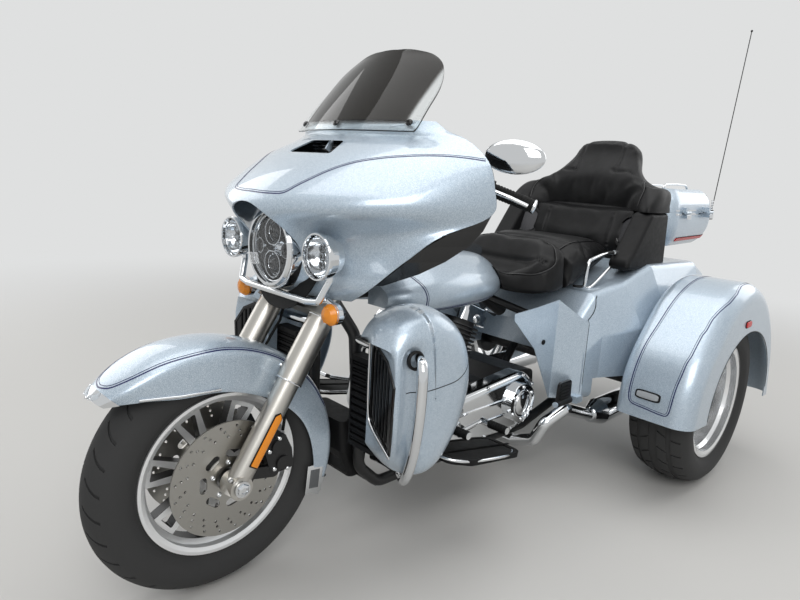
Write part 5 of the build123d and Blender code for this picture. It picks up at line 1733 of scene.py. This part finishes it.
@dataclass
class BarDress:
    """Mirror glass, grip rings, reservoir lids and switch keys."""

    end: Place = (293, 423, 1020)
    start: Place = (351, 330, 1056)

    def build(self) -> None:
        """Makes the left side's pieces and their twins."""
        a, b = Vector(self.start), Vector(self.end)
        way = (b - a).normalized()
        for number in range(12):
            pair(lathe([(-2.2, 17.5), (-2.2, 18.6), (0, 19.4), (2.2, 18.6), (2.2, 17.5)],
                       a + way * (10 + 8.4 * number), way, 32), f"grip_ring_{number}", RUBBER, "steering")
        pair(lathe([(0, 0), (0, 19.5), (5, 19.5), (8, 15), (9, 0)], b - way, way, 32), "grip_cap", CHROME, "steering")
        pair(plate(framed(20, -16, 20, 16), a - way * 18 + Vector((34, 0, 31)), UP, 3, 1.2),
             "reservoir_lid", CHROME, "steering")
        for number, dy in enumerate((0, 14)):
            pair(plate(framed(7, -5, 7, 5), a - way * (14 + dy) + Vector((-25, 0, 6)), (-1, 0, 0.2), 4, 1.4),
                 f"switch_key_{number}", BLACK_ABS, "steering")
        turn = Matrix.Rotation(radians(24), 4, "Z") @ Matrix.Rotation(radians(-6), 4, "Y")
        glass = plate(oval(68, 37, 40), HOME, (-1, 0, 0), 2, 0.8)
        rim = plate(oval(71, 40, 40), HOME, (-1, 0, 0), 2.6, 1.2)
        for piece, name, finish, shift in ((glass, "mirror_glass", MIRROR_GLASS, -2),
                                           (rim, "mirror_rim", GLOSS_BLACK, -0.2)):
            moved(piece, Matrix.Translation(at(418, 440, 1142)) @ turn @ Matrix.Translation((shift * MM, 0, 0)))
            pair(piece, name, finish, "steering")


# Body, engine and rear


@dataclass
class FenderDress:
    """Clear lamp at the front fender's tip, the framed reflector at its tail and the bolts at its sides."""

    def build(self) -> None:
        """Lays the lamp, the reflector and the bolts on the fender's surface."""
        lens = ribbon(across(((1262, -34, 582), (1276, -22, 577), (1283, 0, 575))), ("fender_shell", "fender_trim"),
                      15, 3, lift=1.4)
        settle(lens, "tip_lamp", CLEAR_SOLID, "steering", 50, mend=False)
        for number in range(5):
            y = -24 + 12 * number
            eye = lathe([(0, 0), (0, 3.6), (1.4, 3), (2, 0)], (1286.4 - abs(y) * 0.36, y, 575), (1, 0, 0.35), 12)
            settle(eye, f"tip_lamp_eye_{number}", CHROME, "steering")
        tree = skin_of("fender_shell")
        place, normal = touched(tree, at(726, 84, 232))
        for name, outline, lift, thick, finish in (
                ("tail_frame", [(-30, -38), (24, -44), (30, 40), (-22, 44)], 0.6, 2.6, CHROME),
                ("tail_reflector", [(-18, -24), (13, -29), (18, 26), (-13, 30)], 3, 1.2, SMOKE_GREY)):
            pair(plate(outline, place + normal * lift, LEFT, thick, 2, 3), name, finish, "steering")
        for number, spot in enumerate(((840, 88, 590), (800, 88, 560))):
            place, normal = touched(tree, at(*spot))
            pair(lathe([(-2, 0), (-2, 7), (3, 6.5), (5, 4), (5, 0)], place, normal, 12),
                 f"fender_bolt_{number}", CHROME, "steering")


@dataclass
class LowerFairingDress:
    """Glove box seam, edge strip and the rim round the guard bar's hole."""

    def build(self) -> None:
        """Lays the strips on the left lower fairing and mirrors them."""
        node = ("lower_shell_left",)
        seam = ribbon([(722, 330, 640), (720, 345, 596), (700, 352, 574), (650, 362, 566), (560, 372, 568),
                       (505, 362, 574), (474, 350, 600), (462, 344, 660), (488, 340, 706), (540, 330, 738)],
                      node, 2.4, 0.3, lift=0.1)
        pair(seam, "glove_box_seam", BLACK_ABS, "frame", 60, mend=False)
        pair(ribbon([(530, 262, 742), (470, 258, 700), (420, 256, 600), (412, 256, 510), (440, 256, 410),
                     (520, 258, 326)], node, 9, 2, lift=0.0), "lower_edge_strip", RUBBER, "frame", 60, mend=False)
        pair(lathe([(-5, 17), (-5, 24), (2, 24.5), (4, 21), (2, 17.2)], (660, 384, 650), (0.16, 0.98, 0.12), 40),
             "guard_rim", BLACK_ABS, "frame")


@dataclass
class GuardBars:
    """Bright guard bars, out of the lower shells, down their fronts and back to the lower rails."""

    route: tuple[Place, ...] = (
        (604, 92, 628), (612, 170, 629), (622, 240, 630), (640, 330, 642), (656, 396, 654), (666, 414, 640),
        (670, 419, 600), (668, 416, 520), (658, 396, 420), (648, 372, 352), (640, 352, 318), (616, 322, 292),
        (570, 270, 272), (536, 200, 262), (528, 132, 256), (528, 104, 254))
    radius: float = 14.0

    def build(self) -> None:
        """Bends the left bar and mirrors it."""
        pair(tube(self.route, self.radius, 6), "guard_bar", CHROME, "frame", 60, mend=False)
        for label in ("left", "right"):
            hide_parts("engine_guard")


@dataclass
class EngineDress:
    """Bolts, ribs and caps on the primary cover, rocker boxes, air cleaner and radiators."""

    primary_y: float = 214.0
    crank: Corner = (292, 326)
    clutch: Corner = (-41, 329)

    @staticmethod
    def around(centre: Corner, radius: float, angles: Iterable[float]) -> list[Corner]:
        """Places on a circle at some angles in degrees."""
        x, z = centre
        return [(x + radius * cos(radians(a)), z + radius * sin(radians(a))) for a in angles]

    def build(self) -> None:
        """Makes the left engine side's dress, the air cleaner's disc and the radiator fins."""
        ring = [*self.around(self.crank, 70, (-70, -20, 30, 75)),
                *self.around(self.clutch, 95, (105, 150, 195, 240, 285)), (130, 412), (130, 243)]
        for number, (x, z) in enumerate(ring):
            settle(lathe([(-3, 0), (-3, 6.5), (3, 6.5), (4.5, 5), (4.5, 3), (2, 2.8), (2, 0)],
                         (x, self.primary_y - 4, z), LEFT, 16), f"primary_bolt_{number}", CHROME, "frame")
        for number, (x, z) in enumerate(self.around(self.clutch, 58, range(30, 360, 60))):
            head = lathe([(-2, 0), (-2, 6), (3, 6), (4, 4.6), (4, 2.6), (2, 2.4), (2, 0)], (x, 234, z), LEFT, 16)
            settle(head, f"clutch_bolt_{number}", CHROME, "frame")
        x, z = self.clutch
        settle(lathe([(-2, 46), (-2, 50), (1.4, 50), (2.4, 48), (1.4, 46)], (x, 234, z), LEFT, 56),
               "clutch_cover_ring", CHROME, "frame")
        settle(lathe([(-1, 0), (-1, 40), (2, 40), (4.6, 26), (5.4, 0)], (x, 234, z), LEFT, 56),
               "clutch_cover_dome", CHROME, "frame")
        settle(plate(framed(118, -5, 110, 5), (136, 213, 352), LEFT, 5, 2, 3),
               "primary_rib_upper", CHROME, "frame")
        settle(plate(framed(112, -4, 106, 4), (136, 213, 300), LEFT, 5, 1.8, 3),
               "primary_rib_lower", CHROME, "frame")
        settle(lathe([(-2, 0), (-2, 17), (4, 17), (7, 13), (8, 0)], (292, 222, 326), LEFT, 40),
               "primary_plug", CHROME, "frame")
        for side, bank in ((1, "front"), (-1, "rear")):
            place = Matrix.Translation(at(190, 0, 300)) @ Matrix.Rotation(radians(side * 22.5), 4, "Y")
            for number, (u, v) in enumerate(((60, 66), (-60, 66), (60, -66), (-60, -66))):
                head = lathe([(0, 0), (0, 6), (4, 6), (5.4, 4.6), (5.4, 0)], HOME, UP, 12)
                moved(head, place @ Matrix.Translation(Vector((u, v, 380.6)) * MM))
                settle(head, f"rocker_bolt_{bank}_{number}", CHROME, "frame")
            for out, label in SIDES:
                plug = lathe([(0, 0), (0, 15), (3, 15), (5, 12), (5, 0)], HOME, (0, out, 0), 32)
                moved(plug, place @ Matrix.Translation(Vector((0, out * 84.2, 336)) * MM))
                settle(plug, f"rocker_plug_{bank}_{label}", CHROME, "frame")
        settle(lathe([(-4, 0), (-4, 46), (2, 46), (8, 38), (10, 0)], (195, -195, 550), (0, -1, 0)),
               "air_cleaner_disc", CHROME, "frame")
        fin = plate(framed(44, -1, 44, 1), (646, 183, 350), AHEAD, 4, 0.4, 1)
        fin = settle(fin, "radiator_fin_0", ALLOY_FIN, "frame")
        for number in range(1, 24):
            both_sides(copied(fin, f"radiator_fin_{number}", Matrix.Translation((0, 0, 10.4 * number * MM))))
        both_sides(fin)


@dataclass
class FootDress:
    """Ribbed pads and bright rims of the footboards, and the pegs' rubbers."""

    outline: tuple[Corner, ...] = ((182, 266), (182, 396), (436, 404), (498, 372), (504, 320), (470, 270),
                                   (420, 256), (240, 256))

    def build(self) -> None:
        """Makes the left board's pad and rim and mirrors them."""
        lean = radians(11)
        place = Matrix.Translation(at(182, 0, 262)) @ Matrix.Rotation(-lean, 4, "Y")
        inner = [(340 + (x - 340) * 0.86 - 182, 330 + (y - 330) * 0.86) for x, y in self.outline]
        pad = drawn([(x - ORIGIN_SHIFT, y, 9) for x, y in inner], filled=True)
        with editing(pad, whole=True):
            bpy.ops.mesh.extrude_region_move(TRANSFORM_OT_translate={"value": (0, 0, 0.006)})
        rounded(pad, 4, 3, 30)
        pair(moved(pad, place), "board_pad", RUBBER, "frame")
        for number in range(11):
            half = 46 - 0.9 * abs(number - 5) ** 1.5
            rib = moved(plate(framed(half, -4.5, half, 4.5), HOME, UP, 3.4, 1.2),
                        Matrix.Rotation(pi / 2, 4, "Z"),
                        place @ Matrix.Translation(Vector((22 + 25 * number, 332, 14.6)) * MM))
            pair(rib, f"board_rib_{number}", RUBBER, "frame")
        rim = drawn_mm(place @ Vector(((x - 182) * MM, y * MM, 0.011)) for x, y in self.outline)
        pair(tube(rim, 4.6, closed=True), "board_rim", CHROME, "frame", 60, mend=False)
        for number, (x, z) in enumerate(((212, 338), (396, 372))):
            for ring in range(7):
                settle(lathe([(-4, 10.8), (-4, 12.6), (0, 13.4), (4, 12.6), (4, 10.8)], (x, 292 + 9.6 * ring, z),
                             (0, 1, 0), 24), f"peg_ring_{number}_{ring}", RUBBER, "frame")


@dataclass
class RearDress:
    """Markers, lamps and arch beads of the rear fenders, speaker pods, passenger rails and door fittings."""

    def build(self) -> None:
        """Makes the rear's small pieces."""
        tree = skin_of("rear_fender_left")
        place, normal = touched(tree, at(-330, 545, 391))
        tilt = Vector((normal.x, 0, normal.z)).normalized()
        for name, half_u, half_v, lift, thick, finish in (("marker_frame", 44, 16, -1.5, 4.5, BLACK_ABS),
                                                          ("marker_glass", 38, 11, 2.4, 3, CLEAR_SOLID)):
            pair(plate(oval(half_u, half_v, 40, 4.5), place + tilt * lift, tilt, thick, 1.4, 3),
                 name, finish, "frame")
        place, normal = touched(tree, at(-720, 700, 622))
        for name, half_u, half_v, lift, thick, finish in (("side_marker_frame", 28, 14, -1, 2.4, BLACK_ABS),
                                                          ("side_marker", 25, 11, 1.2, 4.2, RED)):
            pair(plate(oval(half_u, half_v, 36, 4), place + normal * lift, LEFT, thick, 1.6, 3),
                 name, finish, "frame")
        arch = [(-770 + 306 * cos(a), 694, 292 + 292 * sin(a)) for a in
                [radians(4 + 172 * i / 18) for i in range(19)]]
        pair(ribbon(arch, ("rear_fender_left",), 5, 1.6, lift=-0.8), "arch_bead", RUBBER, "frame", 60, mend=False)
        for name, profile, finish in (
                ("tail_lamp_ring", [(-3, 30), (-3, 37), (4, 38), (8, 35), (6, 31)], CHROME),
                ("tail_lamp_glass", [(0, 0), (0, 31), (4, 31), (10, 20), (12, 0)], RED)):
            pair(lathe(profile, (-1112, 566, 588), Vector((-82, 0, 48)).normalized(), 40), name, finish, "frame")
        self.pods()
        self.door()
        self.rails()

    def pods(self) -> None:
        """Padded-looking pods beside the backrest, with round speakers turned in to the rider."""
        outline = [(-700, 984), (-846, 984), (-862, 772), (-552, 772), (-548, 806), (-586, 838)]
        pod = plate([(-x, z) for x, z in outline], (0, 248, 0), LEFT, 84, 20, 5)
        moved(pod, Matrix.Translation((ORIGIN_SHIFT * MM, 0, 0)))
        pair(pod, "speaker_pod", BLACK_ABS, "frame", 50)
        for side, label in SIDES:
            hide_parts("speaker_pods")
            way = Vector((0.80, -0.50 * side, 0.33)).normalized()
            spot = Vector((-640, side * 236, 908))
            settle(lathe([(-52, 0), (-48, 36), (-24, 58), (4, 68), (8, 65), (8, 56), (2, 54), (2, 0)], spot, way, 56),
                   "speaker_drum_" + label, BLACK_ABS, "frame", 40)
            FairingDress.grille(spot + way * 3, way, 57, "pod_speaker_" + label, "frame")

    def rails(self) -> None:
        """Bright passenger rails beside the pillion seat, with thicker hand grips."""
        hoop = tube([(-318, 216, 714), (-318, 250, 714), (-314, 262, 724), (-316, 262, 760), (-322, 262, 806),
                     (-338, 262, 818), (-455, 262, 837), (-500, 262, 834), (-612, 262, 816)], 6.5, 4)
        hoop = settle(hoop, "passenger_rail", CHROME, "frame", 60, mend=False)
        brace = tube([(-350, 216, 708), (-356, 250, 708), (-366, 262, 714), (-460, 262, 764), (-545, 262, 808),
                      (-556, 262, 818), (-556, 262, 826)], 5.5, 4)
        brace = settle(brace, "passenger_rail_brace", CHROME, "frame", 60, mend=False)
        sleeve = lathe([(-60, 0), (-60, 9), (-54, 10.6), (54, 10.6), (60, 9), (62, 0)], (-560, 262, 824),
                       (-1, 0, -0.165), 28)
        sleeve = settle(sleeve, "passenger_rail_grip", CHROME, "frame")
        for piece in (hoop, brace, sleeve):
            both_sides(piece)
        for label in ("left", "right"):
            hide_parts("grab_rails")

    def door(self) -> None:
        """Handle, lock, plate holder and reflector on the trunk door."""
        x = -1118
        settle(tube([(x - 2, -70, 672), (x - 22, -64, 672), (x - 26, -40, 672), (x - 26, 40, 672), (x - 22, 64, 672),
                     (x - 2, 70, 672)], 6.5, 4), "door_handle", CHROME, "trunk_door", 60, mend=False)
        settle(lathe([(-3, 0), (-3, 11), (3, 11), (5, 8), (5, 2.2), (2, 2), (2, 0)], (x, 0, 644), (-1, 0, 0), 32),
               "door_lock", CHROME, "trunk_door")
        holder = plate(framed(96, -62, 96, 62), (-1109, 0, 566), (-1, 0, 0), 6, 2.5, 3)
        sink(holder, lambda f: f.normal.x < -0.9 and f.calc_area() > 0.004, 0.008, 0.0025)
        settle(holder, "plate_holder", BLACK_ABS, "trunk_door")
        for side, label in SIDES:
            settle(plate(oval(34, 13, 32, 4), (x + 0.5, side * 250, 500), (-1, 0, 0), 5, 1.6, 3),
                   "door_reflector_" + label, RED, "trunk_door")


@dataclass
class CaseDress:
    """Strips, wrap-round lamp, hinge covers, latches and rails of the top case."""

    seam: tuple[Corner, ...] = ((-842, 332), (-900, 330), (-1000, 325), (-1100, 319), (-1200, 313), (-1252, 305),
                                (-1290, 270), (-1300, 180), (-1300, 0))
    base_z: float = 978
    lid_z: float = 993
    lamp_z: float = 870

    def build(self) -> None:
        """Makes the strips, the lamp, the fittings and the rails."""
        settle(ribbon(across((x, y, self.base_z) for x, y in self.seam), ("case_base",), 7, 2.6, lift=0.0),
               "case_strip", CHROME, "frame", 60, mend=False)
        settle(ribbon(across((x, y, self.lid_z) for x, y in self.seam), ("case_lid",), 5, 1.6, lift=0.0),
               "lid_strip", CHROME, "case_lid", 60, mend=False)
        lamp = across((x, y * 0.985, self.lamp_z) for x, y in self.seam[1:])
        settle(ribbon(lamp, ("case_base",), 13, 4, lift=0.0), "wrap_lamp", RED, "frame", 60, mend=False)
        settle(ribbon(lamp, ("case_base",), 19, 1.5, lift=0.0),
               "wrap_lamp_bed", BLACK_ABS, "frame", 60, mend=False)
        for number, x in enumerate((-930, -1170)):
            settle(plate(framed(20, -9, 20, 9), (x, 348.5, 968), LEFT, 2, 0.8),
                   f"hinge_cover_{number}", CHROME, "frame")
            wall = 335 * (1 - 0.08 * (-800 - x) / 500)
            settle(plate(framed(16, -26, 14, 4), (x, -wall + 0.5, self.base_z), (0, -1, 0), 9, 2.5, 3),
                   f"case_latch_{number}", CHROME, "frame")
            settle(plate(framed(11, -6, 11, 8), (x, -wall + 1.5, 998), (0, -1, 0), 7, 2, 3),
                   f"case_keeper_{number}", CHROME, "case_lid")
        for side, label in SIDES:
            settle(tube([(-930, side * 225, 1078), (-940, side * 225, 1092), (-980, side * 222, 1096),
                         (-1160, side * 212, 1096), (-1205, side * 210, 1091), (-1214, side * 210, 1078)], 5),
                   "lid_rail_" + label, CHROME, "case_lid", 60, mend=False)
        for number, y in enumerate((-120, 0, 120)):
            settle(tube([(-1000, y, 1078), (-1006, y, 1086), (-1030, y, 1088), (-1180, y * 0.97, 1088),
                         (-1196, y * 0.96, 1085), (-1202, y * 0.96, 1077)], 3.2),
                   f"lid_strip_{number}", CHROME, "case_lid", 60, mend=False)


@dataclass
class TrunkDress:
    """Fuel cap, console door, side cover lock, body seam and the antenna's spring."""

    def build(self) -> None:
        """Makes the pieces from the tank back."""
        settle(lathe([(-6, 0), (-6, 34), (2, 35), (9, 31), (13, 20), (14, 0)], (340, 0, 851), (0.02, 0, 1)),
               "fuel_cap", CHROME, "frame")
        settle(lathe([(0, 35), (0, 38), (6, 37.6), (6, 34)], (340, 0, 849), (0.02, 0, 1)),
               "fuel_cap_ring", CHROME, "frame")
        settle(plate(framed(34, -96, 30, 88), (150, 0, 872.5), UP, 4, 2, 3),
               "console_door", GLOSS_BLACK, "frame")
        place, normal = touched(skin_of("body_shell"), at(-110, 260, 540))
        pair(lathe([(-2, 0), (-2, 9), (2, 9), (3.4, 7), (3.4, 2), (1.6, 1.8), (1.6, 0)], place, normal, 24),
             "side_cover_lock", BLACK_ABS, "frame")
        pair(ribbon([(-322, 336, 719), (-300, 340, 660), (-262, 345, 600), (-250, 342, 500), (-250, 338, 384)],
                    ("body_shell",), 3.2, 0.3, lift=0.1), "body_seam", BLACK_ABS, "frame", 60, mend=False)
        coil = [(-1318 + 5.2 * cos(a), 292 + 5.2 * sin(a), 992 + 7.0 * a / (2 * pi))
                for a in [pi / 4 * i for i in range(49)]]
        settle(tube(coil, 1.6, 2), "antenna_spring", CHROME, "frame", 60, mend=False)


# Studio


@dataclass(frozen=True)
class Studio:
    """Plain pale floor, soft lamps and the camera at the photograph's angle."""

    place_mm: Place = (1688.1, 1369.9, 1102.9)
    heading: float = -134.31
    pitch: float = -12.13
    roll: float = 3.31
    focal_px: float = 618.8
    width_px: float = 800.0
    sensor_mm: float = 36.0
    floor_half: float = 14.0
    fade_start: float = 1.9
    fade_end: float = 5.5

    def camera(self) -> Piece:
        """Adds the camera, turned by heading, pitch and roll."""
        yaw, pitch, roll = (radians(a) for a in (self.heading, self.pitch, self.roll))
        forward = Vector((cos(pitch) * cos(yaw), cos(pitch) * sin(yaw), sin(pitch)))
        right = Vector((sin(yaw), -cos(yaw), 0.0))
        up = right.cross(forward)
        across = right * cos(roll) + up * sin(roll)
        upward = up * cos(roll) - right * sin(roll)
        data = bpy.data.cameras.new("photo_camera")
        data.sensor_width = self.sensor_mm
        data.lens = self.focal_px / self.width_px * self.sensor_mm
        data.clip_end = 100.0
        camera = bpy.data.objects.new("photo_camera", data)
        camera.matrix_world = Matrix.Translation(at(*self.place_mm)) @ Matrix(
            (across, upward, -forward)).transposed().to_4x4()
        bpy.context.scene.collection.objects.link(camera)
        bpy.context.scene.camera = camera
        return camera

    def floor(self) -> None:
        """Adds the pale floor."""
        bpy.ops.object.select_all(action="DESELECT")
        bpy.ops.mesh.primitive_plane_add(size=2 * self.floor_half, location=(0, 0, 0))
        floor = bpy.context.object
        floor.name = "studio_floor"
        material = bpy.data.materials.new("pale_floor")
        material.use_nodes = True
        tree = material.node_tree
        tree.nodes.clear()
        shader = add_node(tree, "BsdfPrincipled", {"Base Color": srgb("#CBC9C5"), "Roughness": 0.6})
        far = add_node(tree, "VectorMath", {"operation": "LENGTH"}, {0: add_node(tree, "TexCoord").outputs["Object"]})
        fade = add_node(tree, "MapRange", {"From Min": self.fade_start, "From Max": self.fade_end,
                                           "interpolation_type": "SMOOTHSTEP"}, {"Value": far.outputs["Value"]})
        share = add_node(tree, "Math", {"operation": "MULTIPLY"}, {0: shown_rays(tree), 1: fade.outputs[0]})
        shown = add_node(tree, "Emission", {"Color": srgb(SURROUND)})
        mixed = add_node(tree, "MixShader", links={0: share.outputs[0], 1: shader.outputs[0], 2: shown.outputs[0]})
        add_node(tree, "OutputMaterial", links={"Surface": mixed.outputs[0]})
        floor.data.materials.append(material)

    def lamps(self) -> None:
        """Adds large soft lamps overhead and at the sides."""
        for name, place, aim, size, power in (
                ("key", (3.0, 3.5, 3.6), (0.2, 0.0, 0.6), 3.0, 120.0),
                ("overhead", (0.0, 0.0, 4.6), (0.0, 0.0, 0.0), 4.5, 105.0),
                ("fill", (1.5, -4.5, 2.6), (0.0, 0.0, 0.6), 3.5, 55.0),
                ("back", (-4.5, 1.5, 2.8), (0.0, 0.0, 0.6), 3.0, 42.0)):
            data = bpy.data.lights.new(name, "AREA")
            data.energy, data.size = power, size
            lamp = bpy.data.objects.new(name, data)
            lamp.location = place
            lamp.rotation_euler = (Vector(aim) - Vector(place)).to_track_quat("-Z", "Y").to_euler()
            bpy.context.scene.collection.objects.link(lamp)

    def sky(self) -> None:
        """A pale surround, white where the camera and reflections see it."""
        world = bpy.data.worlds.new("studio")
        world.use_nodes = True
        tree = world.node_tree
        tree.nodes.clear()
        light = add_node(tree, "Background", {"Color": srgb("#DCE0E4"), "Strength": 0.42})
        shown = add_node(tree, "Background", {"Color": srgb(SURROUND), "Strength": 1.0})
        mixed = add_node(tree, "MixShader", links={0: shown_rays(tree), 1: light.outputs[0], 2: shown.outputs[0]})
        add_node(tree, "OutputWorld", links={"Surface": mixed.outputs[0]})
        bpy.context.scene.world = world

    def build(self) -> None:
        """Builds the whole studio."""
        self.camera()
        self.floor()
        self.lamps()
        self.sky()
        bpy.context.scene.view_settings.view_transform = "Standard"
        log.info("studio ready")


def main() -> None:
    """Builds every sub-assembly in order."""
    Studio().build()
    finish_nodes()
    for assembly in (FairingShell(), Windscreen(), FenderShell(), LowerShell(), Upholstery(), Wheels(), FrontLamps(),
                     ForkDress(), FenderDress(), FairingDress(), BarDress(), PinStripes(), LowerFairingDress(),
                     GuardBars(), EngineDress(), FootDress(), RearDress(), CaseDress(), TrunkDress()):
        assembly.build()


if __name__ == "__main__":
    main()
